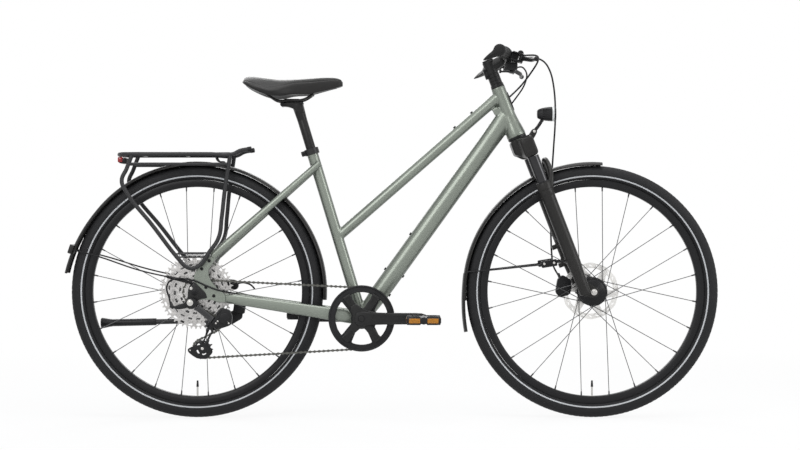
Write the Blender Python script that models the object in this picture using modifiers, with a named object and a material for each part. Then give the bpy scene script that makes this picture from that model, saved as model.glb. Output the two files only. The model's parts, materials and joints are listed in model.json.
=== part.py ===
"""City bike with a step-through frame, hub dynamo, rack, mudguards and derailleur gears.

Metres, +Z up, +X towards the front wheel, drive side at -Y. The origin lies on the ground
below the middle of the bike. Every piece is worked out from the driving dimensions below.
"""

import math

import bmesh
import bpy
from mathutils import Matrix, Vector

# Clearances
GAP = 0.0003

# Wheels
TYRE_RADIUS = 0.353
TYRE_WIDTH = 0.042
TYRE_HEIGHT = 0.0390
RIM_DEPTH = 0.0170
RIM_OUTER_RADIUS = TYRE_RADIUS - TYRE_HEIGHT
RIM_INNER_RADIUS = RIM_OUTER_RADIUS - RIM_DEPTH
RIM_WIDTH = 0.0240
WHEEL_STEPS = 36
SPOKES_PER_WHEEL = 24
SPOKE_RADIUS = 0.0011
SPOKE_CROSS_ANGLE = math.radians(60)
HUB_STEPS = 12

# Frame geometry
WHEELBASE = 1.108
BB_SETBACK = 0.462
BB_DROP = 0.073
HEAD_ANGLE = math.radians(69.0)
FORK_OFFSET = 0.0415
AXLE_TO_HEAD_TUBE = 0.4815
HEAD_TUBE_LENGTH = 0.148
SEAT_ANGLE = math.radians(73.16)
SEAT_TUBE_LENGTH = 0.494
TOP_TUBE_ON_SEAT = 0.236
TOP_TUBE_BELOW_HEAD_TOP = 0.022
DOWN_TUBE_ABOVE_HEAD_BOTTOM = 0.067
SEATSTAY_BELOW_TOP = 0.051
SEAT_TUBE_RADIUS = 0.0158
TOP_TUBE_RADIUS = 0.0148
DOWN_TUBE_DEPTH = 0.052
DOWN_TUBE_WIDTH = 0.044
HEAD_TOP_RADIUS = 0.0195
HEAD_BOTTOM_RADIUS = 0.0270
BB_SHELL_RADIUS = 0.0215
BB_SHELL_WIDTH = 0.073
SEATSTAY_RADIUS = 0.0092
CHAINSTAY_WIDTH = 0.017
REAR_HUB_WIDTH = 0.135
DROPOUT_THICKNESS = 0.008

# Fork
STEERER_RADIUS = 0.0143
LEG_SPACING = 0.130
LEG_FORWARD = 0.0175
STANCHION_RADIUS = 0.0160
LEG_TOP_RADIUS = 0.0195
LEG_BOTTOM_RADIUS = 0.0165
COLLAR_RADIUS = 0.0215
LEG_TOP = 0.330
LEG_BOTTOM = 0.004
CROWN_TOP = 0.474
CROWN_BOTTOM = 0.414
FRONT_HUB_WIDTH = 0.100
FORK_TRAVEL = 0.055
ARCH_HEIGHT = 0.392
ARCH_RADIUS = 0.0085
STANCHION_BOTTOM = 0.168

# Cockpit
STEM_RADIUS = 0.0170
STEM_TOP = 0.712
STEM_REACH = 0.052
BAR_HEIGHT_ON_STEERER = 0.700
BAR_HALF_WIDTH = 0.310
BAR_CLAMP_RADIUS = 0.0157
BAR_RADIUS = 0.0111
BAR_SWEPT_LENGTH = 0.220
BAR_SWEEP = 0.1636
BAR_FALL = 0.0409
GRIP_LENGTH = 0.130
GRIP_RADIUS = 0.0160

# Drivetrain
CHAIN_PITCH = 0.0127
CHAIN_LINE = 0.049
TOOTH_THICKNESS = 0.0016
TOOTH_HEIGHT = 0.0030
VALLEY_DEPTH = 0.0056
CHAINRING_TEETH = 42
SPROCKET_TEETH = (50, 42, 34, 27, 21, 17, 15, 13, 11)
SPROCKET_SPACING = 0.0042
DRIVEN_SPROCKET = 5
GUIDE_TEETH = 11
TENSION_TEETH = 13
CHAIN_HEIGHT = 0.0068
INNER_PLATES = (0.0011, 0.0020)
OUTER_PLATES = (0.0019, 0.0028)
CRANK_LENGTH = 0.171
PEDAL_LENGTH = 0.096
PEDAL_WIDTH = 0.095

# Seat
SEATPOST_RADIUS = 0.0136
SEATPOST_INSERTION = 0.100
SEATPOST_ABOVE_TUBE = 0.128
SEATPOST_TOP = SEAT_TUBE_LENGTH + SEATPOST_ABOVE_TUBE
RAIL_RADIUS = 0.0035

# Rack, mudguards and stand
RACK_HEIGHT = 0.7367
RACK_LENGTH = 0.330
RACK_HALF_WIDTH = 0.060
RACK_TUBE_RADIUS = 0.0058
PANNIER_RAIL_DROP = 0.028
GUARD_RADIUS = TYRE_RADIUS + 0.0110
GUARD_WIDTH = 0.051
GUARD_THICKNESS = 0.0020
GUARD_TAIL_FLARE = 0.012
DISC_RADIUS = 0.080
DISC_THICKNESS = 0.0018
STAND_LENGTH = 0.366

DRIVE = -1
LEFT = 1

# Worked-out places. Heights are from the ground and lengths from the rear axle.
REAR_X = -(WHEELBASE + TYRE_RADIUS - (GUARD_RADIUS + GUARD_TAIL_FLARE)) / 2


def at(x, z, y=0.0):
    """A point x ahead of the rear axle, z above the ground and y to the left."""
    return Vector((REAR_X + x, y, z))


REAR_AXLE = at(0, TYRE_RADIUS)
FRONT_AXLE = at(WHEELBASE, TYRE_RADIUS)
BB = at(BB_SETBACK, TYRE_RADIUS - BB_DROP)
STEER_UP = Vector((-math.cos(HEAD_ANGLE), 0, math.sin(HEAD_ANGLE)))
STEER_FORWARD = Vector((math.sin(HEAD_ANGLE), 0, math.cos(HEAD_ANGLE)))
STEER_FOOT = FRONT_AXLE - FORK_OFFSET * STEER_FORWARD
SEAT_UP = Vector((-math.cos(SEAT_ANGLE), 0, math.sin(SEAT_ANGLE)))
SEAT_FORWARD = Vector((math.sin(SEAT_ANGLE), 0, math.cos(SEAT_ANGLE)))
HEAD_BOTTOM = AXLE_TO_HEAD_TUBE
HEAD_TOP = AXLE_TO_HEAD_TUBE + HEAD_TUBE_LENGTH


def on_steerer(up, forward=0.0, y=0.0):
    """A point on the steering axis, moved forward of it and sideways."""
    return STEER_FOOT + up * STEER_UP + forward * STEER_FORWARD + Vector((0, y, 0))


def on_seat_tube(up, forward=0.0, y=0.0):
    """A point on the seat tube's axis, measured from the bottom bracket."""
    return BB + up * SEAT_UP + forward * SEAT_FORWARD + Vector((0, y, 0))


def around(centre, radius, angle, y=0.0):
    """A point on a circle about an axle, the angle rising from the front towards the top."""
    return centre + Vector((radius * math.cos(angle), y, radius * math.sin(angle)))


def pitch_radius(teeth):
    return CHAIN_PITCH / (2 * math.sin(math.pi / teeth))


# Scene, materials and modelling tools

for old in list(bpy.data.objects):
    bpy.data.objects.remove(old)

parts = bpy.data.collections.new("city_bike")
bpy.context.scene.collection.children.link(parts)
materials = {}


def finish_of(name, colour, roughness, metallic=0.0):
    """A plain Principled material, made once for each finish."""
    material = bpy.data.materials.new(name)
    material.use_nodes = True
    shader = material.node_tree.nodes["Principled BSDF"]
    shader.inputs["Base Color"].default_value = (*colour, 1)
    shader.inputs["Roughness"].default_value = roughness
    shader.inputs["Metallic"].default_value = metallic
    material.diffuse_color = (*colour, 1)
    materials[name] = material


finish_of("frame_paint", (0.30, 0.35, 0.31), 0.35, 0.3)
finish_of("black_paint", (0.035, 0.035, 0.037), 0.4)
finish_of("black_plastic", (0.03, 0.03, 0.032), 0.5)
finish_of("black_metal", (0.05, 0.05, 0.052), 0.4, 0.6)
finish_of("dark_chrome", (0.12, 0.11, 0.10), 0.2, 1.0)
finish_of("steel", (0.55, 0.55, 0.55), 0.3, 1.0)
finish_of("chain_steel", (0.33, 0.32, 0.30), 0.4, 1.0)
finish_of("tyre_rubber", (0.03, 0.03, 0.03), 0.7)
finish_of("grip_rubber", (0.03, 0.03, 0.03), 0.8)
finish_of("cover", (0.06, 0.058, 0.055), 0.6)
finish_of("red_lens", (0.6, 0.02, 0.02), 0.2)


def mesh_object(mesh):
    thing = bpy.data.objects.new("piece", mesh)
    parts.objects.link(thing)
    return thing


def baked(thing, weld=1e-6):
    """The evaluated object as a plain mesh with its place in its points, faces outwards."""
    bpy.context.view_layer.update()
    graph = bpy.context.evaluated_depsgraph_get()
    mesh = bpy.data.meshes.new_from_object(thing.evaluated_get(graph))
    mesh.transform(thing.matrix_world)
    bpy.data.objects.remove(thing)
    cage = bmesh.new()
    cage.from_mesh(mesh)
    bmesh.ops.remove_doubles(cage, verts=cage.verts, dist=weld)
    bmesh.ops.recalc_face_normals(cage, faces=cage.faces)
    cage.to_mesh(mesh)
    cage.free()
    return mesh_object(mesh)


def placed(direction, origin):
    """A matrix that stands local Z along a direction, at an origin."""
    turn = Vector(direction).to_track_quat("Z", "Y").to_matrix().to_4x4()
    return Matrix.Translation(origin) @ turn


def rod(start, end, radius, sides=12, end_radius=None):
    """A straight round bar, tapered if its end has its own radius."""
    start, end = Vector(start), Vector(end)
    cage = bmesh.new()
    bmesh.ops.create_cone(cage, cap_ends=True, segments=sides, radius1=radius,
                          radius2=radius if end_radius is None else end_radius,
                          depth=(end - start).length)
    bmesh.ops.transform(cage, verts=cage.verts, matrix=placed(end - start, (start + end) / 2))
    mesh = bpy.data.meshes.new("rod")
    cage.to_mesh(mesh)
    cage.free()
    return mesh_object(mesh)


def axle_rod(centre, y_from, y_to, radius, sides=12):
    """A round bar along Y through a centre."""
    return rod(centre + Vector((0, y_from, 0)), centre + Vector((0, y_to, 0)), radius, sides)


def box(centre, size, turn=None):
    """A block of a size (x, y, z), turned about Y if an angle is given."""
    cage = bmesh.new()
    bmesh.ops.create_cube(cage, size=1)
    bmesh.ops.scale(cage, verts=cage.verts, vec=size)
    matrix = Matrix.Translation(centre)
    if turn is not None:
        matrix = matrix @ Matrix.Rotation(turn, 4, "Y")
    bmesh.ops.transform(cage, verts=cage.verts, matrix=matrix)
    mesh = bpy.data.meshes.new("box")
    cage.to_mesh(mesh)
    cage.free()
    return mesh_object(mesh)


def bent_tube(points, radius, sides=8, radii=None):
    """A bent bar along points, with flat capped ends. radii scales it point by point."""
    curve = bpy.data.curves.new("tube", "CURVE")
    curve.dimensions = "3D"
    curve.bevel_depth = radius
    curve.bevel_resolution = (sides - 4) // 2
    curve.use_fill_caps = True
    spline = curve.splines.new("POLY")
    spline.points.add(len(points) - 1)
    for i, point in enumerate(points):
        spline.points[i].co = (*point, 1)
        spline.points[i].radius = 1 if radii is None else radii[i]
    thing = bpy.data.objects.new("tube", curve)
    parts.objects.link(thing)
    return baked(thing)


def smooth_route(points, steps=4):
    """Points of a smooth curve through a route's own points."""
    points = [Vector(p) for p in points]
    ends = [2 * points[0] - points[1]] + points + [2 * points[-1] - points[-2]]
    route = []
    for i in range(1, len(ends) - 2):
        a, b, c, d = ends[i - 1:i + 3]
        for step in range(steps):
            t = step / steps
            route.append(0.5 * ((2 * b) + (c - a) * t + (2 * a - 5 * b + 4 * c - d) * t * t
                                + (3 * b - a - 3 * c + d) * t ** 3))
    return route + [points[-1]]


def plate(outline, y_from, y_to, holes=()):
    """A flat piece from an outline of (x, z) points in the bike's own plane."""
    curve = bpy.data.curves.new("plate", "CURVE")
    curve.dimensions = "2D"
    curve.fill_mode = "BOTH"
    curve.extrude = abs(y_to - y_from) / 2
    for loop in (outline, *holes):
        spline = curve.splines.new("POLY")
        spline.points.add(len(loop) - 1)
        for i, point in enumerate(loop):
            spline.points[i].co = (point[0], point[-1], 0, 1)
        spline.use_cyclic_u = True
    thing = bpy.data.objects.new("plate", curve)
    thing.matrix_world = Matrix.Translation((0, (y_from + y_to) / 2, 0)) @ Matrix.Rotation(
        math.pi / 2, 4, "X")
    parts.objects.link(thing)
    return baked(thing)


def ring_points(centre, radius, count, start=0.0):
    """Points of a circle in the bike's plane."""
    return [around(centre, radius, start + math.tau * i / count) for i in range(count)]


def turned(profile, centre, axis=(0, 1, 0), steps=HUB_STEPS, closed=True):
    """A profile of (radius, height along the axis) turned about an axis through a centre."""
    cage = bmesh.new()
    line = [cage.verts.new((radius, 0, height)) for radius, height in profile]
    for a, b in zip(line, line[1:] + (line[:1] if closed else [])):
        cage.edges.new((a, b))
    mesh = bpy.data.meshes.new("profile")
    cage.to_mesh(mesh)
    cage.free()
    thing = mesh_object(mesh)
    screw = thing.modifiers.new("turn", "SCREW")
    screw.axis = "Z"
    screw.angle = math.tau
    screw.steps = screw.render_steps = steps
    screw.use_merge_vertices = True
    screw.merge_threshold = 0.00001
    thing.matrix_world = placed(axis, centre)
    return baked(thing)


def loft(sections):
    """A closed skin over rings of points that have one count and one direction."""
    cage = bmesh.new()
    rings = [[cage.verts.new(p) for p in section] for section in sections]
    for low, high in zip(rings, rings[1:]):
        for i in range(len(low)):
            j = (i + 1) % len(low)
            cage.faces.new((low[i], low[j], high[j], high[i]))
    cage.faces.new(rings[0][::-1])
    cage.faces.new(rings[-1])
    mesh = bpy.data.meshes.new("loft")
    cage.to_mesh(mesh)
    cage.free()
    return baked(mesh_object(mesh))


def oval(centre, normal, depth, width, sides=16):
    """A ring of points round a tube's centre, deep in the bike's plane and wide across it."""
    normal = Vector(normal).normalized()
    across = Vector((0, 1, 0))
    deep = across.cross(normal).normalized()
    across = normal.cross(deep)
    return [centre + deep * depth / 2 * math.cos(a) + across * width / 2 * math.sin(a)
            for a in (math.tau * i / sides for i in range(sides))]


def oval_tube(points, sizes, sides=12):
    """A tube along points with an oval section of (depth, width) at each."""
    points = [Vector(p) for p in points]
    sections = []
    for i, point in enumerate(points):
        ahead = points[min(i + 1, len(points) - 1)] - points[max(i - 1, 0)]
        sections.append(oval(point, ahead, *sizes[i], sides))
    return loft(sections)


def combined(things, operation):
    """The first object joined with or cut by the others with exact Booleans."""
    base = things[0]
    for other in things[1:]:
        boolean = base.modifiers.new("boolean", "BOOLEAN")
        boolean.operation = operation
        boolean.object = other
        boolean.solver = "EXACT"
        base = baked(base)
        bpy.data.objects.remove(other)
    return base


def union(*things):
    return combined(things, "UNION")


def cut(*things):
    return combined(things, "DIFFERENCE")


def group(*things):
    """Separate solids kept in one object."""
    cage = bmesh.new()
    for thing in things:
        cage.from_mesh(thing.data)
        bpy.data.objects.remove(thing)
    mesh = bpy.data.meshes.new("group")
    cage.to_mesh(mesh)
    cage.free()
    return mesh_object(mesh)


def mirrored(thing):
    """A copy of an object on the other side of the bike."""
    mesh = thing.data.copy()
    mesh.transform(Matrix.Scale(-1, 4, (0, 1, 0)))
    mesh.flip_normals()
    return mesh_object(mesh)


def pair(thing):
    """An object and its mirror image as one object."""
    return group(mirrored(thing), thing)


def named(name, thing, finish, pivot=(0, 0, 0)):
    """Names a finished piece, gives it its finish and puts its origin on its pivot."""
    thing.name = thing.data.name = name
    thing.data.transform(Matrix.Translation(-Vector(pivot)))
    thing.location = pivot
    thing.data.materials.clear()
    thing.data.materials.append(materials[finish])
    thing.data.shade_smooth()
    thing.data.set_sharp_from_angle(angle=math.radians(35))
    return thing


# Wheels


def wheel_tyre(centre):
    """A tyre as one ring with a rounded tread."""
    half = TYRE_WIDTH / 2
    side = [(RIM_OUTER_RADIUS + GAP, 0.50), (RIM_OUTER_RADIUS + 0.0115, 0.96),
            (TYRE_RADIUS - 0.0120, 0.90), (TYRE_RADIUS, 0.28)]
    profile = [(r, -half * w) for r, w in side] + [(r, half * w) for r, w in side[::-1]]
    return turned(profile, centre, steps=WHEEL_STEPS)


def wheel_rim(centre):
    """A rim as one ring with sloping flanks."""
    half = RIM_WIDTH / 2
    side = [(RIM_INNER_RADIUS, 0.55), (RIM_INNER_RADIUS + 0.0090, 1.0), (RIM_OUTER_RADIUS, 0.90)]
    profile = [(r, -half * w) for r, w in side] + [(r, half * w) for r, w in side[::-1]]
    return turned(profile, centre, steps=WHEEL_STEPS)


def spoked_hub(hub, centre, right_flange, left_flange, hole_radius, start):
    """A hub with its crossed spokes, which start in the flanges' faces and end at the rim."""
    spokes = []
    rim_end = RIM_INNER_RADIUS * math.cos(math.pi / WHEEL_STEPS) - 0.0006
    for i in range(SPOKES_PER_WHEEL):
        rim_angle = start + math.tau * i / SPOKES_PER_WHEEL
        trailing = -1 if i // 2 % 2 else 1
        flange = left_flange if i % 2 else right_flange
        rim_y = 0.0030 * (1 if i % 2 else -1) + 0.0014 * trailing
        hub_end = around(centre, hole_radius, rim_angle - trailing * SPOKE_CROSS_ANGLE,
                         flange + trailing * 0.0017)
        spokes.append(rod(hub_end, around(centre, rim_end, rim_angle, rim_y), SPOKE_RADIUS, 3))
    return union(hub, group(*spokes))


def brake_disc(centre, y, bore):
    """A brake disc with six slanted arms between its hub ring and its brake ring."""
    windows = []
    for i in range(6):
        a = math.tau * i / 6
        windows.append([around(centre, 0.0640, a), around(centre, 0.0650, a + 0.40),
                        around(centre, 0.0640, a + 0.80), around(centre, 0.0270, a + 0.10)])
    half = DISC_THICKNESS / 2
    return plate(ring_points(centre, DISC_RADIUS, 30), y - half, y + half,
                 [ring_points(centre, bore, 12, 0.13)] + windows)


named("rear_tyre", wheel_tyre(REAR_AXLE), "tyre_rubber", REAR_AXLE)
named("rear_rim", wheel_rim(REAR_AXLE), "black_paint", REAR_AXLE)
named("front_tyre", wheel_tyre(FRONT_AXLE), "tyre_rubber", FRONT_AXLE)
named("front_rim", wheel_rim(FRONT_AXLE), "black_paint", FRONT_AXLE)

rear_hub = turned([(0.0056, -0.0262), (0.0140, -0.0262), (0.0140, -0.0228), (0.0290, -0.0225),
                   (0.0290, -0.0195), (0.0170, -0.0160), (0.0150, 0.0285), (0.0290, 0.0315),
                   (0.0290, 0.0345), (0.0210, 0.0400), (0.0210, 0.0510), (0.0165, 0.0510),
                   (0.0165, 0.0560), (0.0120, 0.0600), (0.0056, 0.0600)], REAR_AXLE)
named("rear_hub", spoked_hub(rear_hub, REAR_AXLE, -0.0210, 0.0330, 0.0255, math.radians(6)),
      "black_metal", REAR_AXLE)
front_hub = turned([(0.0056, -0.0460), (0.0150, -0.0460), (0.0150, -0.0340), (0.0310, -0.0300),
                    (0.0310, -0.0275), (0.0405, -0.0275), (0.0405, -0.0245), (0.0320, -0.0245),
                    (0.0320, 0.0245), (0.0405, 0.0245), (0.0405, 0.0275), (0.0310, 0.0275),
                    (0.0310, 0.0300), (0.0210, 0.0340), (0.0210, 0.0382), (0.0165, 0.0382),
                    (0.0165, 0.0430), (0.0120, 0.0460), (0.0056, 0.0460)], FRONT_AXLE)
named("front_hub", spoked_hub(front_hub, FRONT_AXLE, -0.0260, 0.0260, 0.0370, math.radians(9.3)),
      "black_metal", FRONT_AXLE)
named("rear_rotor", brake_disc(REAR_AXLE, 0.0523, 0.0172), "steel", REAR_AXLE)
named("front_rotor", brake_disc(FRONT_AXLE, 0.0395, 0.0172), "steel", FRONT_AXLE)


def axle(centre, hub_width, dropout, nut_radius, shoulder, lock=0.0100):
    """A bolted axle with a nut outside each dropout and a locknut inside it."""
    inner = hub_width / 2 - GAP
    outer = hub_width / 2 + dropout + GAP
    side = [(0, outer + 0.0060), (nut_radius, outer + 0.0060), (nut_radius, outer),
            (0.0050, outer), (0.0050, inner), (lock, inner), (lock, shoulder),
            (0.0050, shoulder)]
    profile = side + [(r, -y) for r, y in side[::-1]]
    return turned(profile, centre, steps=8, closed=False)


named("rear_axle", axle(REAR_AXLE, REAR_HUB_WIDTH, DROPOUT_THICKNESS, 0.0085, 0.0645),
      "steel", REAR_AXLE)
named("front_axle", axle(FRONT_AXLE, FRONT_HUB_WIDTH, 0.0080, 0.0072, 0.0465),
      "steel", FRONT_AXLE)

# Chain, gears and cranks

CHAIN_Y = -CHAIN_LINE
GUIDE_AXLE = at(0.0485, 0.2642)
CAGE_LENGTH = 0.0742


def chain_turns(cage_angle):
    """The toothed wheels that the chain runs round, with the heading of each straight run."""
    tension = around(GUIDE_AXLE, CAGE_LENGTH, cage_angle)
    wheels = [(BB, CHAINRING_TEETH, -1), (tension, TENSION_TEETH, -1), (GUIDE_AXLE, GUIDE_TEETH, 1),
              (REAR_AXLE, SPROCKET_TEETH[DRIVEN_SPROCKET], -1)]
    runs = []
    for i, (centre, teeth, sense) in enumerate(wheels):
        after, after_teeth, after_sense = wheels[(i + 1) % len(wheels)]
        span = after - centre
        step = sense * pitch_radius(teeth) - after_sense * pitch_radius(after_teeth)
        length = math.sqrt(span.length_squared - step * step)
        runs.append((math.atan2(span.z, span.x) + math.asin(step / span.length), length))
    return wheels, runs


def chain_pitches(cage_angle):
    """The chain's length in pitches, round its wheels and along its straight runs."""
    wheels, runs = chain_turns(cage_angle)
    total = 0.0
    for i, (centre, teeth, sense) in enumerate(wheels):
        total += (runs[i][0] - runs[i - 1][0]) * sense % math.tau * teeth / math.tau
        total += runs[i][1] / CHAIN_PITCH
    return total


# The cage turns until the chain has a whole and even number of pitches
rest_angle = math.radians(-107)
CHAIN_LINKS = 2 * round(chain_pitches(rest_angle) / 2)
low, high = rest_angle - math.radians(25), rest_angle + math.radians(25)
for _ in range(40):
    middle = (low + high) / 2
    if (chain_pitches(middle) > CHAIN_LINKS) == (chain_pitches(high) > chain_pitches(low)):
        high = middle
    else:
        low = middle
CAGE_ANGLE = (low + high) / 2
TENSION_AXLE = around(GUIDE_AXLE, CAGE_LENGTH, CAGE_ANGLE)


def chain_pins():
    """The chain's pins, one pitch apart, and the angle of one valley of each toothed wheel."""
    wheels, runs = chain_turns(CAGE_ANGLE)
    pins, valleys, left_over = [], [], 0.0
    for i, (centre, teeth, sense) in enumerate(wheels):
        enter, (leave, length) = runs[i - 1][0], runs[i]
        turn = math.tau / teeth
        sweep = (leave - enter) * sense % math.tau / turn
        place = left_over
        valleys.append(enter + sense * (left_over * turn - math.pi / 2))
        while place < sweep:
            pins.append(around(centre, pitch_radius(teeth),
                               enter + sense * (place * turn - math.pi / 2), CHAIN_Y))
            place += 1
        start = around(centre, pitch_radius(teeth), leave - sense * math.pi / 2, CHAIN_Y)
        way = Vector((math.cos(leave), 0, math.sin(leave)))
        place -= sweep
        while place < length / CHAIN_PITCH:
            pins.append(start + way * place * CHAIN_PITCH)
            place += 1
        left_over = place - length / CHAIN_PITCH
    return pins[:CHAIN_LINKS], valleys


pins, valleys = chain_pins()


def toothed_outline(centre, teeth, valley=0.0):
    """A toothed outline with one point in each valley and one on each tooth."""
    radius = pitch_radius(teeth)
    outline = []
    for i in range(teeth):
        a = valley + math.tau * i / teeth
        outline.append(around(centre, radius - VALLEY_DEPTH, a))
        outline.append(around(centre, radius + TOOTH_HEIGHT, a + math.pi / teeth))
    return outline


def sprocket(centre, teeth, y, bore=None, thickness=TOOTH_THICKNESS, valley=0.0):
    holes = [ring_points(centre, bore, 10)] if bore else []
    return plate(toothed_outline(centre, teeth, valley), y - thickness / 2, y + thickness / 2, holes)


FIRST_SPROCKET = CHAIN_Y + DRIVEN_SPROCKET * SPROCKET_SPACING
gear_stack = turned([(0.0056, -0.0640), (0.0150, -0.0640), (0.0150, FIRST_SPROCKET + 0.0013),
                     (0.0056, FIRST_SPROCKET + 0.0013)], REAR_AXLE, steps=10)
for i, teeth in enumerate(SPROCKET_TEETH):
    gear_stack = union(gear_stack, sprocket(REAR_AXLE, teeth, FIRST_SPROCKET - i * SPROCKET_SPACING,
                                            0.0100, valley=valleys[3]))
named("cassette", gear_stack, "steel", REAR_AXLE)
named("chainring", sprocket(BB, CHAINRING_TEETH, CHAIN_Y, 0.058, valley=valleys[0]),
      "black_metal", BB)
named("tension_pulley", sprocket(TENSION_AXLE, TENSION_TEETH, CHAIN_Y, 0.0034, valley=valleys[1]),
      "black_plastic", TENSION_AXLE)
named("guide_pulley", sprocket(GUIDE_AXLE, GUIDE_TEETH, CHAIN_Y, 0.0034, valley=valleys[2]),
      "black_plastic", GUIDE_AXLE)


def roller_chain():
    """A chain of alternate narrow and wide side plates with a roller across at every pin."""
    cage = bmesh.new()
    setback = CHAIN_PITCH * 0.095
    ends = {}
    for i, pin in enumerate(pins):
        after = pins[(i + 1) % len(pins)]
        ahead = (after - pin).normalized()
        up = Vector((-ahead.z, 0, ahead.x)) * CHAIN_HEIGHT / 2
        plates = OUTER_PLATES if i % 2 else INNER_PLATES
        for end, foot in ((0, pin + ahead * setback), (1, after - ahead * setback)):
            for side in (-1, 1):
                ends[i, end, side] = [cage.verts.new(foot + rise * up + Vector((0, side * y, 0)))
                                      for rise, y in ((-1, plates[0]), (0, plates[1]),
                                                      (1, plates[0]))]

    def skin(first, second, faces):
        for a in faces:
            b = (a + 1) % len(first)
            cage.faces.new((first[a], first[b], second[b], second[a]))

    for i in range(len(pins)):
        after = (i + 1) % len(pins)
        for side in (-1, 1):
            skin(ends[i, 0, side], ends[i, 1, side], (0, 1, 2))
            skin(ends[i, 1, side], ends[after, 0, side], (0, 1))
        near = [ends[i, 1, -1][0], ends[after, 0, -1][0], ends[after, 0, -1][2], ends[i, 1, -1][2]]
        far = [ends[i, 1, 1][0], ends[after, 0, 1][0], ends[after, 0, 1][2], ends[i, 1, 1][2]]
        skin(near, far, (0, 1, 2, 3))
    mesh = bpy.data.meshes.new("chain")
    cage.to_mesh(mesh)
    cage.free()
    return baked(mesh_object(mesh), 1e-7)


named("chain", roller_chain(), "chain_steel")

guard_windows = []
for middle in (90, 180, 270, 360):
    spread = 26 if middle != 360 else 12
    for centre_angle in ([middle] if middle != 360 else [-16, 16]):
        a, b = math.radians(centre_angle - spread), math.radians(centre_angle + spread)
        guard_windows.append([around(BB, 0.074, a), around(BB, 0.077, (a + b) / 2),
                              around(BB, 0.074, b), around(BB, 0.040, (a + b) / 2)])
named("chain_guard", plate(ring_points(BB, 0.0925, 32), -0.0542, -0.0562,
                           [ring_points(BB, 0.0200, 16, 0.1)] + guard_windows),
      "black_plastic", BB)

PEDAL_RIGHT = BB + Vector((CRANK_LENGTH, 0, 0))
PEDAL_LEFT = BB - Vector((CRANK_LENGTH, 0, 0))


def crank_arm(end, y_from, y_to):
    """A crank arm with a round boss at each end."""
    way = 1 if end.x > BB.x else -1
    outline = [BB + Vector((way * x, 0, z)) for x, z in
               ((-0.017, 0.004), (-0.012, 0.013), (0, 0.018), (0.030, 0.0150),
                (0.100, 0.0125), (0.171, 0.0125), (0.181, 0.0085), (0.185, 0))]
    mirror = [Vector((p.x, 0, 2 * BB.z - p.z)) for p in outline[-2::-1]]
    return plate(outline + mirror, y_from, y_to)


right = union(crank_arm(PEDAL_RIGHT, -0.0620, -0.0750), axle_rod(BB, -0.0625, 0.0612, 0.0120, 16))
star = []
for degrees, between in ((57, 90), (124, 178), (232, 270), (308, 2)):
    a = math.radians(degrees)
    star += [around(BB, 0.0580, a - 0.10), around(BB, 0.0620, a), around(BB, 0.0580, a + 0.10),
             around(BB, 0.0230, math.radians(between))]
right = union(right, plate(star, -0.0566, -0.0640))
right = union(right, axle_rod(PEDAL_RIGHT, -0.0740, -0.1820, 0.0060, 12))
named("crank_right", right, "black_metal", BB)
left = union(crank_arm(PEDAL_LEFT, 0.0615, 0.0750), axle_rod(PEDAL_LEFT, 0.0740, 0.1820, 0.0060, 12))
named("crank_left", left, "black_metal", BB)


def pedal(centre, side):
    """A platform pedal with two openings beside its sleeve."""
    middle = centre + Vector((0, side * 0.1400, 0))
    body = box(middle, (PEDAL_LENGTH, PEDAL_WIDTH, 0.0240))
    body = union(body, axle_rod(centre, side * 0.0860, side * 0.1865, 0.0100, 12))
    for way in (-1, 1):
        body = cut(body, box(middle + Vector((way * 0.0240, 0, 0)), (0.0220, 0.0700, 0.0500)))
    return cut(body, axle_rod(centre, side * 0.0800, side * 0.1830, 0.0064, 12))


named("pedal_right", pedal(PEDAL_RIGHT, DRIVE), "black_plastic", PEDAL_RIGHT)
named("pedal_left", pedal(PEDAL_LEFT, LEFT), "black_plastic", PEDAL_LEFT)

# Derailleur

LINK_START = at(0.0080, 0.3120)
LINK_END = at(0.0480, 0.2780)
LINK_WAY = (LINK_END - LINK_START).normalized()
LINK_AXIS = Vector((-LINK_WAY.z, 0, LINK_WAY.x))


def derailleur_link(y_start, y_end):
    """One bar of the parallelogram with a round barrel on each pin."""
    start, end = LINK_START + Vector((0, y_start, 0)), LINK_END + Vector((0, y_end, 0))
    way = (end - start).normalized()
    across = LINK_AXIS.cross(way)
    bar = loft([[p + LINK_AXIS * u * 0.0085 + across * v * 0.0012 for u, v in
                 ((-1, -1), (1, -1), (1, 1), (-1, 1))] for p in (start, end)])
    for p in (start, end):
        bar = union(bar, rod(p - LINK_AXIS * 0.0095, p + LINK_AXIS * 0.0095, 0.0030, 10))
    return bar


OUTER_PINS = (-0.0890, -0.0790)
INNER_PINS = (-0.0790, -0.0690)
named("derailleur_outer_link", derailleur_link(*OUTER_PINS), "black_metal",
      LINK_START + Vector((0, OUTER_PINS[0], 0)))
named("derailleur_inner_link", derailleur_link(*INNER_PINS), "black_metal",
      LINK_START + Vector((0, INNER_PINS[0], 0)))

behind = LINK_START - LINK_WAY * 0.0038
body_outline = [behind - LINK_AXIS * 0.0095, behind + LINK_AXIS * 0.0115, at(0.0040, 0.3345),
                at(-0.0100, 0.3380), at(-0.0240, 0.3310), at(-0.0265, 0.3180), at(-0.0140, 0.3080)]
named("derailleur_body", plate(body_outline, -0.0760, -0.0935), "black_plastic",
      at(-0.0127, 0.3253))
beyond = LINK_END + LINK_WAY * 0.0038
knuckle = plate([beyond - LINK_AXIS * 0.0060, at(0.0700, 0.2520), at(0.0960, 0.2620),
                 at(0.1040, 0.2850), at(0.0980, 0.3050), at(0.0720, 0.3110),
                 beyond + LINK_AXIS * 0.0110], -0.0620, -0.0840)
knuckle = union(knuckle, plate([at(0.0400, 0.2570), at(0.0480, 0.2530), at(0.0700, 0.2520),
                                at(0.0960, 0.2620), at(0.1040, 0.2850), at(0.0850, 0.2900),
                                at(0.0520, 0.2760), at(0.0405, 0.2710)], -0.0573, -0.0640))
named("derailleur_knuckle", knuckle, "black_plastic",
      LINK_END + Vector((0, OUTER_PINS[1], 0)))


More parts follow.
